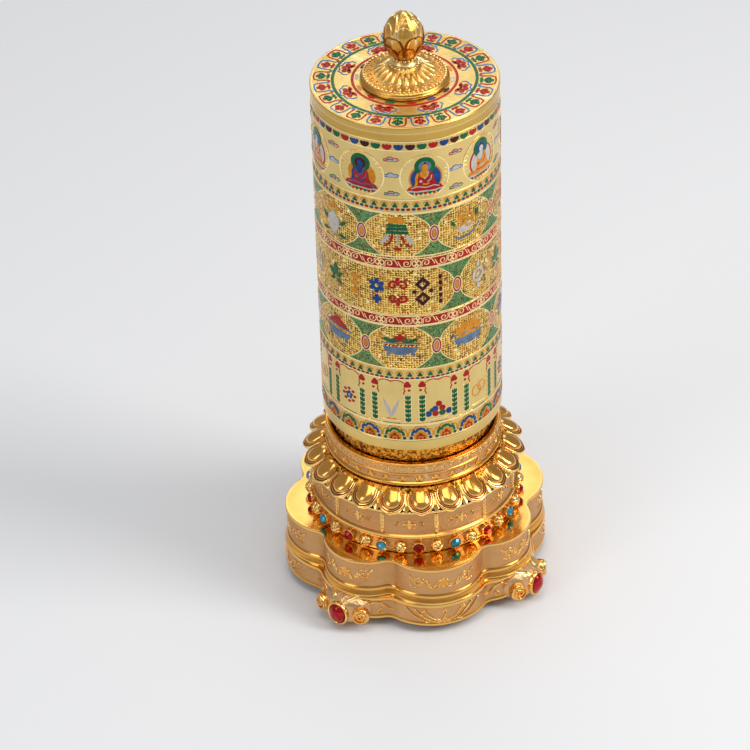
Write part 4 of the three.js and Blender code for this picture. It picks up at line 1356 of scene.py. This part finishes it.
def dome(a, b, rise, rings=8, segments=20):
    """A half-round boss on an oval base, with its back at height 0."""
    bpy.ops.mesh.primitive_uv_sphere_add(segments=segments, ring_count=rings, radius=MM)
    piece = bpy.context.object
    piece.scale = (a, b, rise)
    apply_place(piece)
    edit(piece)
    bpy.ops.mesh.bisect(
        plane_co=(0, 0, -0.2 * rise * MM), plane_no=(0, 0, 1), clear_inner=True, use_fill=True
    )
    done()
    return piece


RELIEF_ROOT = 0.25  # how far a relief sinks into its wall


class Wall:
    """A closed upright wall seen from above, along which reliefs are laid by length."""

    def __init__(self, outline):
        self.points = [Vector(p) for p in outline]
        self.lengths = [0.0]
        for here, there in zip(self.points, self.points[1:] + self.points[:1]):
            self.lengths.append(self.lengths[-1] + (there - here).length)

    def start(self, azimuth):
        a = math.radians(azimuth)
        way = Vector((math.cos(a), math.sin(a)))
        best = max(range(len(self.points)), key=lambda i: self.points[i].normalized().dot(way))
        return self.lengths[best]

    def at(self, length):
        length %= self.lengths[-1]
        count = len(self.points)
        i = max(k for k in range(count) if self.lengths[k] <= length)
        t = (length - self.lengths[i]) / (self.lengths[i + 1] - self.lengths[i])
        here, there = self.points[i], self.points[(i + 1) % count]
        before, beyond = self.points[i - 1], self.points[(i + 2) % count]
        run = (there - before).normalized() * (1 - t) + (beyond - here).normalized() * t
        return here * (1 - t) + there * t, Vector((run.y, -run.x)).normalized()

    def lay(self, shapes, azimuth, z, depth=0.55, ease=0.2):
        """Reliefs centred on an azimuth, at height z, rooted a little way into the wall."""
        piece = sliced(slab(shapes, depth, ease))
        start = self.start(azimuth)
        for vertex in piece.data.vertices:
            x, y, rise = vertex.co
            foot, normal = self.at(start + x)
            place = foot + normal * (rise + depth - RELIEF_ROOT)
            vertex.co = (place.x * MM, place.y * MM, (z + y) * MM)
        return piece


def circle(radius):
    return oval(0, 0, radius, points=96)


# ---------------------------------------------------------------- the lobed outline of the plinth
LOBES = 8
WIDE_HALF = math.radians(24.5)
NARROW_HALF = math.radians(20.5)
FILLET = 5.0
LOBE_POINTS = 22
FILLET_POINTS = 8


def lobed_outline(wide, narrow, notch, offset):
    """Wide and narrow arcs in turn, joined by hollow fillets; offset grows the whole outline."""
    def lobe(index):
        reach, half = (wide, WIDE_HALF) if index % 2 == 0 else (narrow, NARROW_HALF)
        chord, rise = notch * math.sin(half), reach - notch * math.cos(half)
        radius = (chord * chord + rise * rise) / (2 * rise)
        a = FULL_TURN * index / LOBES
        return Vector((math.cos(a), math.sin(a))) * (reach - radius), radius

    def fillet(first, second):
        (a, ra), (b, rb) = first, second
        ra, rb, gap = ra + FILLET, rb + FILLET, b - a
        along = (ra * ra - rb * rb + gap.length_squared) / (2 * gap.length)
        aside = math.sqrt(ra * ra - along * along)
        way = gap.normalized()
        return a + way * along + Vector((way.y, -way.x)) * aside

    def sweep(centre, radius, start, end, steps):
        turn = (end - start + math.pi) % FULL_TURN - math.pi
        return [
            (
                centre.x + radius * math.cos(start + turn * k / steps),
                centre.y + radius * math.sin(start + turn * k / steps)
            )
            for k in range(steps)
        ]

    def heading(v):
        return math.atan2(v.y, v.x)

    outline = []
    for i in range(LOBES):
        centre, radius = lobe(i)
        last = fillet(lobe(i - 1), lobe(i))
        following = fillet(lobe(i), lobe(i + 1))
        beyond = lobe(i + 1)[0]
        outline += sweep(
            centre, radius + offset, heading(last - centre), heading(following - centre), LOBE_POINTS
        )
        outline += sweep(
            following, FILLET - offset, heading(centre - following), heading(beyond - following),
            FILLET_POINTS
        )
    return outline


def lobed_casting(reach, profile, hole):
    """A lobed wall and deck: profile pairs are (offset, height); an offset of None is the deck's hole."""
    rings = []
    for offset, z in profile:
        if offset is None:
            guide = lobed_outline(*reach, 0.0)
            rings.append([(*(Vector(p).normalized() * hole), z) for p in guide])
        else:
            rings.append([(x, y, z) for x, y in lobed_outline(*reach, offset)])
    count = len(rings[0])
    faces = []
    for i in range(len(rings)):
        low, high = i * count, (i + 1) % len(rings) * count
        faces += [(low + k, low + (k + 1) % count, high + (k + 1) % count, high + k) for k in range(count)]
    return tidy(drawn([p for points in rings for p in points], [], faces), 1e-6)


# ---------------------------------------------------------------- reliefs of the base
def tendril(reach):
    """A flower between two scrolling stems that fit a lobe of that half width."""
    stem = stroke([(-1.6, -1.6), (-0.3 * reach, -2.4), (-0.5 * reach, -1.0), (-0.62 * reach, 0.9)], 0.75, 0.3)
    coil = stroke(spiral(-0.72 * reach, 0.4, 2.4, 0.5, 10, 1.3, 22), 0.75, 0.4)
    tail = stroke([(-0.72 * reach, -1.9), (-0.86 * reach, -2.5), (-reach, -1.5)], 0.7, 0.6)
    leaves = [
        leaf(-0.4 * reach, -1.6, 3.4, 1.3, 112), leaf(-0.28 * reach, -2.0, 2.8, 1.1, 62),
        leaf(-0.9 * reach, 0.8, 3.0, 1.2, 130)
    ]
    return [bloom(0, 0.3, 1.2, 2.3, 6)] + mirrored([stem, coil, tail] + leaves)


def drape(reach):
    """Long folds that hang from both ends of an apron to its middle, and a leafy scroll along its hem."""
    folds = []
    for k in range(3):
        x0, x1 = -reach * (1.02 - 0.24 * k), -reach * (0.42 - 0.16 * k)
        folds.append(
            stroke(
                [(x0, 3.2), (x0 + 0.25 * (x1 - x0), 0.9), (x0 + 0.6 * (x1 - x0), -1.4), (x1, -2.9)], 1.0, 0.6
            )
        )
    hem = [
        stroke([(-reach * 0.5, -3.2), (-reach * 0.3, -2.4), (-1.6, -3.3)], 0.7, 0.4),
        stroke(spiral(-reach * 0.3, -2.0, 1.3, 0.35, 270, 1.0, 14), 0.5, 0.3)
    ]
    crest = [leaf(0, -3.6, 3.4, 2.2, 90), stroke(spiral(0, 1.6, 1.1, 0.3, 270, 1.0, 12), 0.45)]
    return mirrored(
        folds + hem + [leaf(-0.8, -3.2, 2.8, 1.2, 135), leaf(-reach * 0.62, 1.6, 2.6, 1.1, 20)]
    ) + crest


STEP_TOP = lower_high.z + 2.4
DECK_HOLE = belt_high.x - 6.9
UPPER_REACH = (upper_high.x - 0.9, upper_high.x - 1.9, upper_high.x - 8.1)
LOWER_REACH = (lower_high.x, lower_high.x - 1.0, upper_high.x - 5.1)


CASTING_STEPS = 192  # flats round a large turned casting


def by_height(*bands):
    """Chooses material 1 for upright faces whose height lies in one of the bands, and 0 elsewhere."""
    def choose(centre, normal):
        return int(abs(normal.z) < 0.5 and any(low < centre.z < high for low, high in bands))
    return choose


def make_upper_plinth():
    bottom, top = upper_low.z, upper_high.z
    field = (STEP_TOP + 1.8, top - 1.9)
    profile = [
        (0.9, bottom - 0.25), (0.95, bottom + 0.1), (0.75, bottom + 0.5), (0.2, STEP_TOP - 0.4),
        (0.1, STEP_TOP), (0.45, STEP_TOP + 0.3), (0.5, STEP_TOP + 0.9), (0.3, STEP_TOP + 1.4),
        (-0.15, field[0]), (-0.15, field[1]), (0.3, field[1] + 0.4), (0.5, field[1] + 0.8), (0.5, top - 0.5),
        (0.2, top), (-1.0, top), (None, top), (None, top - 1.9), (-2.2, top - 1.9), (-2.2, bottom - 0.25)
    ]
    casting = lobed_casting(UPPER_REACH, profile, DECK_HOLE)
    painted(casting, by_height(field), ROSE_POLISHED, ROSE_SANDED)
    soften(casting, 40)
    wall = Wall(lobed_outline(*UPPER_REACH, -0.15))
    pieces = [casting]
    for k in range(LOBES):
        reach = 12.5 if k % 2 == 0 else 10.0
        pieces.append(wall.lay(tendril(reach), 45 * k, (field[0] + field[1]) / 2))
    for piece in pieces[1:]:
        soften(coated(piece, ROSE_POLISHED), 50)
    return settle(merge(pieces), "upper_tier_casting", "base", "rose_gold_casting", "upper_plinth")


FOOT_ROOT = 41.9
FOOT_FACE = 54.1
JEWEL_Z = 6.7


def make_foot(azimuth):
    """A knee that narrows to a pointed toe, with an oval setting, a volute on each flank and two folds."""
    knee = [
        (-9.6, -3.6), (-5.0, -5.4), (0, -6.5), (5.0, -5.4), (9.6, -3.6), (10.4, 0.5), (9.0, 4.4), (5.5, 6.3),
        (-5.5, 6.3), (-9.0, 4.4), (-10.4, 0.5)
    ]
    steps = [
        (3.0, 1.0), (2.4, 0.95, 0.98), (2.4, 0.88, 0.95), (1.8, 0.78, 0.92), (1.2, 0.72, 0.9),
        (0.4, 0.8, 0.85)
    ]
    body = raised(knee, steps)
    edit(body)
    bpy.ops.mesh.subdivide(number_cuts=3, smoothness=0.5)
    done()
    parts = [stood(body, azimuth, FOOT_ROOT - 0.4, JEWEL_Z)]
    bezel = relief([(oval(0, 0, 4.35, 5.05, 30), oval(0, 0, 3.45, 4.15, 26))], 2.6, 0.35)
    parts[0].data.materials.append(ROSE_SANDED)
    parts.append(stood(bezel, azimuth, FOOT_ROOT + 9.6, JEWEL_Z))
    parts.append(stood(dome(3.6, 4.3, 0.4), azimuth, FOOT_FACE - 1.5, JEWEL_Z))
    for side in (1, -1):
        disc = relief([oval(0, 0, 3.3, 3.3, 26)], 3.0, 0.5)
        coil = relief([stroke(spiral(0, 0, 3.1, 0.35, 90, 1.9 * side, 40), 0.75, 0.15)], 1.1, 0.2)
        coil.location.z = 2.6 * MM
        volute = merge([disc, apply_place(coil)])
        volute.rotation_euler.y = math.radians(26 * side)
        volute.location = (7.5 * side * MM, 0.2 * MM, -2.9 * MM)
        parts.append(stood(apply_place(volute), azimuth, FOOT_ROOT + 9.9, JEWEL_Z))
        fold = relief([stroke([(0, 0), (0, 10.5)], 1.8, 0.3)], 1.7, 0.5)
        fold.rotation_euler.z = math.radians(-38 * side)
        fold.location.x = 2.6 * side * MM
        parts.append(stood(apply_place(fold), azimuth, FOOT_ROOT + 9.0, JEWEL_Z + 4.3, 79))
    return parts


def make_lower_plinth():
    bottom, top = 3.3, lower_high.z
    field = (bottom + 1.6, top - 2.0)
    profile = [
        (-0.5, bottom), (-0.1, bottom + 0.2), (0.0, bottom + 0.7), (-0.2, bottom + 1.2), (-0.5, field[0]),
        (-0.5, field[1]), (-0.2, field[1] + 0.3), (0.0, field[1] + 0.8), (0.0, top - 0.5), (-0.3, top),
        (-1.3, top), (None, top), (None, top - 1.9), (-2.2, top - 1.9), (-2.2, bottom)
    ]
    casting = lobed_casting(LOWER_REACH, profile, DECK_HOLE)
    painted(casting, by_height(field), ROSE_POLISHED, ROSE_SANDED)
    soften(casting, 40)
    wall = Wall(lobed_outline(*LOWER_REACH, -0.5))
    pieces = [casting]
    for k in range(0, LOBES, 2):
        pieces.append(wall.lay(drape(14.5), 45 * k, (field[0] + field[1]) / 2 - 0.2, 0.72))
    whisker = mirrored(
        [
            stroke([(-9.0, 1.2), (-11.6, 2.8), (-14.2, 2.2), (-16.4, 0.0), (-18.6, -0.6)], 0.9, 0.4),
            stroke(spiral(-13.4, -1.4, 1.3, 0.4, 90, 1.1, 14), 0.6, 0.3)
        ]
    )
    for k in range(4):
        pieces.append(wall.lay(whisker, 45 + 90 * k, (field[0] + field[1]) / 2, 0.72))
        pieces += make_foot(45 + 90 * k)
    for piece in pieces[1:]:
        if not piece.data.materials:
            piece.data.materials.append(ROSE_POLISHED)
        soften(piece, 50)
    return settle(merge(pieces), "lower_tier_casting", "base", "rose_gold_casting", "lower_plinth")


# ---------------------------------------------------------------- belt, neck, petals and collar
STONES = 18
STONE_Z = (belt_low.z + belt_high.z) / 2 - 0.15
BELT_WALL = 38.2


def make_belt():
    low, high = belt_low.z, belt_high.z
    wall = turned(
        rounded(
            [
                (BELT_WALL - 1.8, low), (BELT_WALL + 0.3, low), (BELT_WALL + 0.3, low + 0.7),
                (BELT_WALL, low + 0.9), (BELT_WALL, high - 0.9), (BELT_WALL + 0.3, high - 0.7),
                (BELT_WALL + 0.3, high), (BELT_WALL - 1.8, high)
            ],
            0.2
        ),
        CASTING_STEPS
    )
    painted(wall, by_height((low + 0.9, high - 0.9)), ROSE_POLISHED, ROSE_SANDED)
    cup = relief([(oval(0, 0, 2.4, 2.4, 22), oval(0, 0, 1.98, 1.98, 20))], 1.7, 0.15)
    cup_floor = relief([oval(0, 0, 2.3, 2.3, 18)], 0.7, 0.1)
    cup = copies_around(stood(merge([cup, cup_floor]), 0, BELT_WALL, STONE_Z), STONES)
    stud = dome(2.5, 2.5, 2.1, 12, 22)
    petals = [stood_petal(k) for k in range(7)]
    stud = copies_around(stood(merge([stud] + petals), 180 / STONES, BELT_WALL + 0.4, STONE_Z), STONES)
    for piece in (cup, stud):
        coated(piece, ROSE_POLISHED)
    return settle(
        soften(merge([wall, cup, stud]), 45), "jewelled_belt", "base", "rose_gold_casting", "jewel_belt"
    )


def stood_petal(k):
    """One of the long lobes that swirl over a stud."""
    a = FULL_TURN * k / 7
    lobe = dome(1.5, 0.6, 0.45, 6, 10)
    lobe.rotation_euler = (0, math.radians(38), a + 0.4)
    lobe.location = (1.35 * MM * math.cos(a), 1.35 * MM * math.sin(a), 1.55 * MM)
    return apply_place(lobe)


NECK_R = neck_high.x


def make_neck():
    low, high = neck_low.z, neck_high.z
    field = (low + 1.7, high - 2.0)
    profile = [
        (NECK_R - 3.2, low), (NECK_R - 0.8, low), (NECK_R - 0.45, low + 0.5), (NECK_R - 0.6, low + 1.2),
        (NECK_R - 1.3, field[0]), (NECK_R - 1.4, field[1]), (NECK_R - 0.9, high - 1.6),
        (NECK_R - 0.3, high - 1.3), (NECK_R, high - 0.9), (NECK_R - 0.1, high - 0.2), (NECK_R - 0.4, high),
        (NECK_R - 6.7, high), (NECK_R - 6.7, high - 2), (NECK_R - 3.2, high - 2)
    ]
    wall = turned(profile, CASTING_STEPS)
    painted(wall, by_height(field), ROSE_POLISHED, ROSE_SANDED)
    soften(wall, 40)
    around = Wall(circle(NECK_R - 1.35))
    middle = (field[0] + field[1]) / 2
    post = around.lay([stroke([(0, -4.4), (0, 4.4)], 1.5)], 0, middle, 0.7)
    line = around.lay([oval(0, y, 0.6, 0.8, 8) for y in (-3.4, -1.7, 0, 1.7, 3.4)], 0, middle, 1.1)
    cross = [leaf(0, 0, 2.6, 1.3, a) for a in (0, 90, 180, 270)] + [oval(0, 0, 0.7, 0.7, 10)]
    spray = cross + mirrored(
        [
            stroke(spiral(-4.6, 0.2, 1.0, 0.3, 330, 1.1, 14), 0.45, 0.3), oval(-2.0, 1.5, 0.35, 0.35, 6),
            oval(-2.0, -1.5, 0.35, 0.35, 6)
        ]
    )
    panel = around.lay(spray, 15, middle, 0.6)
    raised_work = copies_around(merge([post, line, panel]), 12)
    soften(coated(raised_work, ROSE_POLISHED), 50)
    return settle(merge([wall, raised_work]), "neck_casting", "base", "rose_gold_casting", "neck_band")


PETALS = 22


def make_lotus():
    low, high = lotus_low.z, lotus_high.z
    plate_room = NECK_R - 2.5
    bore = collar_low.x * -1 - 2.0
    cone = turned(
        [
            (plate_room, low + 0.3), (NECK_R - 0.8, low + 0.3), (NECK_R - 1.2, low + 1.0), (34.2, high - 1.0),
            (33.4, high), (bore, high), (bore, low + 3.8), (plate_room, low + 2.6)
        ],
        132
    )
    # The cone between the petals takes the painted shade.
    coated(cone, HAMMERED_SHADE)
    outline = [
        (0, -6.1), (1.9, -5.5), (3.6, -4.4), (4.75, -2.5), (5.1, -0.2), (4.85, 2.0), (4.35, 4.4), (3.4, 6.4),
        (0, 7.0)
    ]
    rim = [
        (0.9, 1.0), (0.2, 0.965), (0, 0.93), (-0.5, 0.975), (0, 0.965), (0.55, 0.97), (0.1, 0.93),
        (-0.4, 0.97), (0, 0.975)
    ]
    melon = [(0.55, 0.96), (0.5, 0.9), (0.38, 0.8, 0.86), (0.24, 0.6, 0.74), (0.08, 0.4, 0.6)]
    petal = copies_around(
        soften(stood(raised(both_sides(outline), rim + melon), 0, 36.0, 51.85, 59.5), 50), PETALS
    )
    tip = raised(
        [(0, -3.4), (1.6, -1.7), (1.9, 0.6), (1.2, 2.6), (-1.2, 2.6), (-1.9, 0.6), (-1.6, -1.7)],
        [(0.7, 1.0), (0.25, 0.8), (0.3, 0.6), (0.1, 0.4)]
    )
    tip = copies_around(soften(stood(tip, 180 / PETALS, 37.0, 50.6, 59.5), 50), PETALS)
    for piece in (petal, tip):
        coated(piece, ROSE_POLISHED)
    return settle(merge([cone, petal, tip]), "lotus_casting", "base", "rose_gold_casting", "lotus_ring")


def make_collar():
    low, high = collar_low.z, collar_high.z
    r = collar_high.x - 0.5
    bore = r - 1.5
    profile = rounded(
        [
            (bore, low), (r + 0.3, low), (r + 0.5, low + 0.5), (r + 0.3, low + 1.1), (r - 0.45, low + 1.5),
            (r - 0.45, low + 4.4), (r + 0.15, low + 4.8), (r + 0.15, low + 5.4), (r - 0.15, low + 5.6),
            (r - 0.15, high - 1.1), (r + 0.15, high - 0.9), (r + 0.1, high - 0.2), (r - 0.3, high),
            (bore, high)
        ],
        0.12, 2
    )
    wall = turned(profile, CASTING_STEPS)
    painted(wall, by_height((low + 1.6, low + 4.3), (low + 5.6, high - 1.1)), ROSE_POLISHED, ROSE_SANDED)
    soften(wall, 40)
    around = Wall(circle(r - 0.45))
    bud = around.lay(
        [leaf(0, -1.3, 2.7, 1.7, 90)] + mirrored([leaf(-0.5, -1.2, 1.9, 0.8, 128)]), 0, low + 2.95, 0.7
    )
    bud = copies_around(bud, 33)
    fret_wall = Wall(circle(r - 0.15))
    key = [stroke([(-1.3, -1.2), (-1.3, 1.2), (1.3, 1.2), (1.3, -0.5), (0.1, -0.5), (0.1, 0.4)], 0.4)]
    fret = copies_around(fret_wall.lay(key, 0, high - 2.7, 0.45, 0.1), 56)
    for piece in (bud, fret):
        soften(coated(piece, ROSE_POLISHED), 50)
    return settle(merge([wall, bud, fret]), "collar_casting", "base", "rose_gold_casting", "collar")


# ---------------------------------------------------------------- stones
def make_stones():
    profile = [(0.0, 0.0), (0.6, 0.0), (1.95, 0.85), (1.95, 1.1), (1.3, 1.8), (1.0, 2.0), (0.0, 2.0)]
    for i in range(STONES):
        colour = "red" if i % 2 else "blue"
        stone = coated(turned(profile, 12), RED_GLASS if i % 2 else AQUA_GLASS)
        node = f"{colour}_stone_{i + 1}"
        slot = "red_glass" if i % 2 else "aqua_glass"
        settle(stood(stone, 360 / STONES * i, BELT_WALL + 0.9, STONE_Z), f"cut_{node}", "base", slot, node)
    for k in range(4):
        jewel = coated(dome(3.4, 4.1, 2.6, 18, 36), RED_GLASS)
        stood(jewel, 45 + 90 * k, FOOT_FACE - 0.9, JEWEL_Z)
        settle(soften(jewel, 60), f"foot_jewel_{k + 1}", "base", "red_glass", f"foot_cabochon_{k + 1}")


# ---------------------------------------------------------------- drum, boss and finial
STUD_HOLE = 2.35  # radius of the hole for the finial's stud
SPIGOT_R = 31.5  # the ring on the floor and on the lid that fits inside the shell
SPIGOT_BORE = 30.4


def make_drum():
    low, high = shell_low.z, shell_high.z
    r = DRUM_R
    marks = [low + 0.4] + [
        drum_z + h for h in (11.45, 31.6, 36.4, 59.8, 79.5, 84.5, 102.6, 107.8, 127.8, PLAIN_BAND)
    ] + [high - 0.4]
    profile = [(r - 1.2, low), (r - 0.2, low)] + [(r, z) for z in marks] + [
        (r, high + 0.25), (r - 1.2, high + 0.25)
    ]
    shell = turned(profile, CASTING_STEPS)
    grounds = (
        (4.9, 11.4, 1), (11.4, 31.7, 2), (31.7, 36.4, 1), (36.4, 102.6, 3), (102.6, 107.8, 1),
        (107.8, 127.8, 2), (127.8, PLAIN_BAND, 1), (PLAIN_BAND, 200, 4)
    )

    def choose(centre, normal):
        height = centre.z - drum_z
        outside = Vector((centre.x, centre.y)).length > r - 0.3
        return next((g for a, b, g in grounds if outside and a < height < b), 0)

    # Material 4, on the plain band at the top, is the darker gold of a painted dark reflection.
    painted(shell, choose, PALE_POLISHED, PALE_SANDED, PALE_CHASED, PALE_MOSAIC, BAND_DARK_REFLECTION)
    settle(soften(shell, 40), "drum_barrel", "drum", "pale_gold_plate", "drum_shell")

    skirt = floor_high.x - 2.8
    z = floor_low.z
    profile = rounded(
        [
            (6.0, z), (skirt, z), (skirt, drum_z), (r - 0.1, drum_z), (r, drum_z + 0.3), (r, drum_z + 4.2),
            (r - 0.3, drum_z + 4.5), (SPIGOT_R, drum_z + 4.5), (SPIGOT_R, drum_z + 8),
            (SPIGOT_BORE, drum_z + 8), (28.9, drum_z + 2), (28.9, z + 2), (9, z + 2), (9, z + 15),
            (6.0, z + 15)
        ],
        0.12, 1
    )
    foot = turned(profile, CASTING_STEPS)
    # The skirt below the rim takes the painted shade; the rest is polished pale gold.
    painted(
        foot, lambda c,
        n: int(Vector((c.x, c.y)).length > skirt - 0.4 and c.z < drum_z - 0.1 and abs(n.z) < 0.5),
        PALE_POLISHED, HAMMERED_SHADE
    )
    settle(soften(foot, 40), "drum_rim", "drum", "pale_gold_plate", "drum_floor")

    under, top = lid_low.z + 3.5, lid_high.z
    profile = rounded(
        [
            (STUD_HOLE, under), (SPIGOT_BORE, under), (SPIGOT_BORE, under - 3.5), (SPIGOT_R, under - 3.5),
            (SPIGOT_R, under), (r, under), (r, top - 0.15), (r - 0.15, top), (STUD_HOLE, top)
        ],
        0.05, 2
    )
    lid = turned(profile, CASTING_STEPS)
    # The lid's rim takes the darker gold of the painted dark reflection, its top the paler gold of painted
    # light.
    painted(lid, lambda c, n: int(n.z > 0.9 and c.z > top - 0.2), BAND_DARK_REFLECTION, LID_CHASED_LIT)
    settle(soften(lid, 40), "enamelled_lid", "drum", "pale_gold_plate", "drum_lid")


def make_boss():
    z, top, r = boss_low.z, boss_high.z, boss_high.x
    rise = top - z
    profile = rounded(
        [
            (STUD_HOLE, z), (r, z), (r, z + 0.9), (r - 0.4, z + 1.2), (r - 0.5, z + 1.6), (r - 0.9, z + 2.0),
            (r - 1.9, z + 2.3), (r * 0.72, z + 2.9), (r * 0.5, z + 4.0), (r * 0.36, z + 5.2),
            (4.8, z + rise - 0.7), (4.8, z + rise), (STUD_HOLE, z + rise)
        ],
        0.3, 3
    )
    core = turned(profile, 144)
    bead = dome(0.55, 0.55, 0.6, 6, 8)
    bead = copies_around(stood(bead, 0, r - 1.35, z + 2.3, 60), 56)
    rib_outline = [(0, -2.9), (0.75, -2.5), (1.05, -1.5), (0.9, 0.2), (0.55, 2.0), (0, 2.9)]
    rib = raised(both_sides(rib_outline), [(0.9, 1.0), (0.3, 0.8), (0.2, 0.6), (0.06, 0.4)])
    rib = copies_around(stood(rib, 0, r * 0.52, z + 3.2, 62), 22)
    shell = [stroke(spiral(0, 0, 1.05, 0.25, 90, 1.1, 12), 0.42, 0.2)]
    curl = copies_around(stood(relief(shell, 0.9, 0.15), 0, r * 0.79, z + 2.15, 74), 26)
    ring_bead = copies_around(stood(dome(0.55, 0.55, 0.5, 6, 8), 0, 4.8, top - 1.0, 30), 20)
    piece = coated(merge([core, bead, rib, curl, ring_bead]), DEEP_POLISHED)
    settle(soften(piece, 50), "gadrooned_boss", "drum", "deep_gold_casting", "boss")


FINIAL_SHAPE = (
    (0.0, 4.8), (0.05, 3.8), (0.09, 3.7), (0.13, 4.3), (0.2, 5.1), (0.27, 5.8), (0.38, 6.3), (0.5, 6.35),
    (0.62, 6.0), (0.72, 5.3), (0.82, 4.1), (0.89, 2.6), (0.93, 1.7), (0.96, 1.35), (1.0, 0.0)
)


def finial_radius(share):
    for (a, ra), (b, rb) in zip(FINIAL_SHAPE, FINIAL_SHAPE[1:]):
        if a <= share <= b:
            return ra + (rb - ra) * (share - a) / (b - a)
    return 0.0


def bud_leaf(start, end, half_angle, across=14, along=14):
    """A pointed leaf that lies on the bud between two shares of its height, with a ridge and a rim."""
    outer, inner = [], []
    z0, rise = finial_low.z, finial_high.z - finial_low.z
    for j in range(along + 1):
        t = j / along
        share = start + (end - start) * t
        width = half_angle * (1 - t ** 4) ** 0.6 + 0.01
        for i in range(across + 1):
            u = 2 * i / across - 1
            a = math.radians(width * u)
            rim = 0.34 if abs(u) > 0.82 or t > 0.9 else 0.0
            vein = 0.22 * max(0.0, 1 - 5 * abs(u))
            lift = 0.2 + 0.6 * t * (1 - 0.45 * t) + rim + vein
            r = min(finial_radius(share) + lift, finial_high.x)
            outer.append((r * math.cos(a), r * math.sin(a), z0 + share * rise))
            inner.append(
                ((r - lift - 0.35) * math.cos(a), (r - lift - 0.35) * math.sin(a), z0 + share * rise)
            )
    row, count = across + 1, (across + 1) * (along + 1)
    faces = []
    for j in range(along):
        for i in range(across):
            k = j * row + i
            faces += [
                (k, k + 1, k + row + 1, k + row),
                (count + k, count + k + row, count + k + row + 1, count + k + 1)
            ]
    edge = list(range(row)) + [j * row + across for j in range(1, along + 1)] + [
        along * row + i for i in range(across - 1, -1, -1)
    ] + [j * row for j in range(along - 1, 0, -1)]
    faces += [
        (edge[k], edge[(k + 1) % len(edge)], count + edge[(k + 1) % len(edge)], count + edge[k])
        for k in range(len(edge))
    ]
    return tidy(drawn(outer + inner, [], faces))


def make_finial():
    z0, rise = finial_low.z, finial_high.z - finial_low.z
    stem = [(STUD_HOLE, z0 + 5.3), (STUD_HOLE, z0)] + [(r, z0 + s * rise) for s, r in FINIAL_SHAPE]
    core = turned(stem + [(0.0, z0 + 5.3)], 72)
    rows = ((0.56, 0.93, 44, 4, 22), (0.38, 0.80, 38, 5, 0), (0.22, 0.62, 37, 5, 36), (0.11, 0.42, 32, 6, 8))
    leaves = []
    for start, end, half, count, shift in rows:
        one = bud_leaf(start, end, half)
        one.rotation_euler.z = math.radians(shift - 101.5)
        leaves.append(copies_around(apply_place(one), count))
    beads = copies_around(stood(dome(0.55, 0.55, 0.45, 6, 8), 0, 4.1, z0 + 0.08 * rise), 18)
    piece = coated(merge([core] + leaves + [beads]), DEEP_POLISHED)
    settle(soften(piece, 45), "lotus_bud_finial", "drum", "deep_gold_casting", "finial")


make_upper_plinth()
make_lower_plinth()
make_belt()
make_neck()
make_lotus()
make_collar()
make_stones()
make_drum()
make_boss()
make_finial()

# ================================================================ pieces that stay as they are in the CAD
STEEL = plain_metal("turned_steel", (0.62, 0.62, 0.63), 0.28)
BRASS = plain_metal("turned_brass", (0.62, 0.42, 0.14), 0.3)
BLACK_SHEET = plain_metal("blacked_sheet", (0.05, 0.047, 0.043), 0.5)
PAPER = fibre("scroll_paper", (0.78, 0.70, 0.50), (0.66, 0.56, 0.36), 1400.0, (1, 1, 6), 0.85, 0.00006)
BOARD = fibre("core_board", (0.48, 0.33, 0.20), (0.34, 0.22, 0.12), 700.0, (1, 1, 4), 0.9, 0.00012)
CARRIED_OVER = {
    "bright_steel": STEEL,
    "plain_brass": BRASS,
    "blacked_steel": BLACK_SHEET,
    "scroll_paper": PAPER,
    "core_board": BOARD,
    "red_glass": RED_GLASS,
    "aqua_glass": AQUA_GLASS,
    "rose_gold_casting": ROSE_SANDED,
    "pale_gold_plate": PALE_SANDED,
    "deep_gold_casting": DEEP_POLISHED,
}
for part in frame["record"]["subparts"]:
    coated(frame["nodes"][part["node"]], CARRIED_OVER[part["material_slot"]])
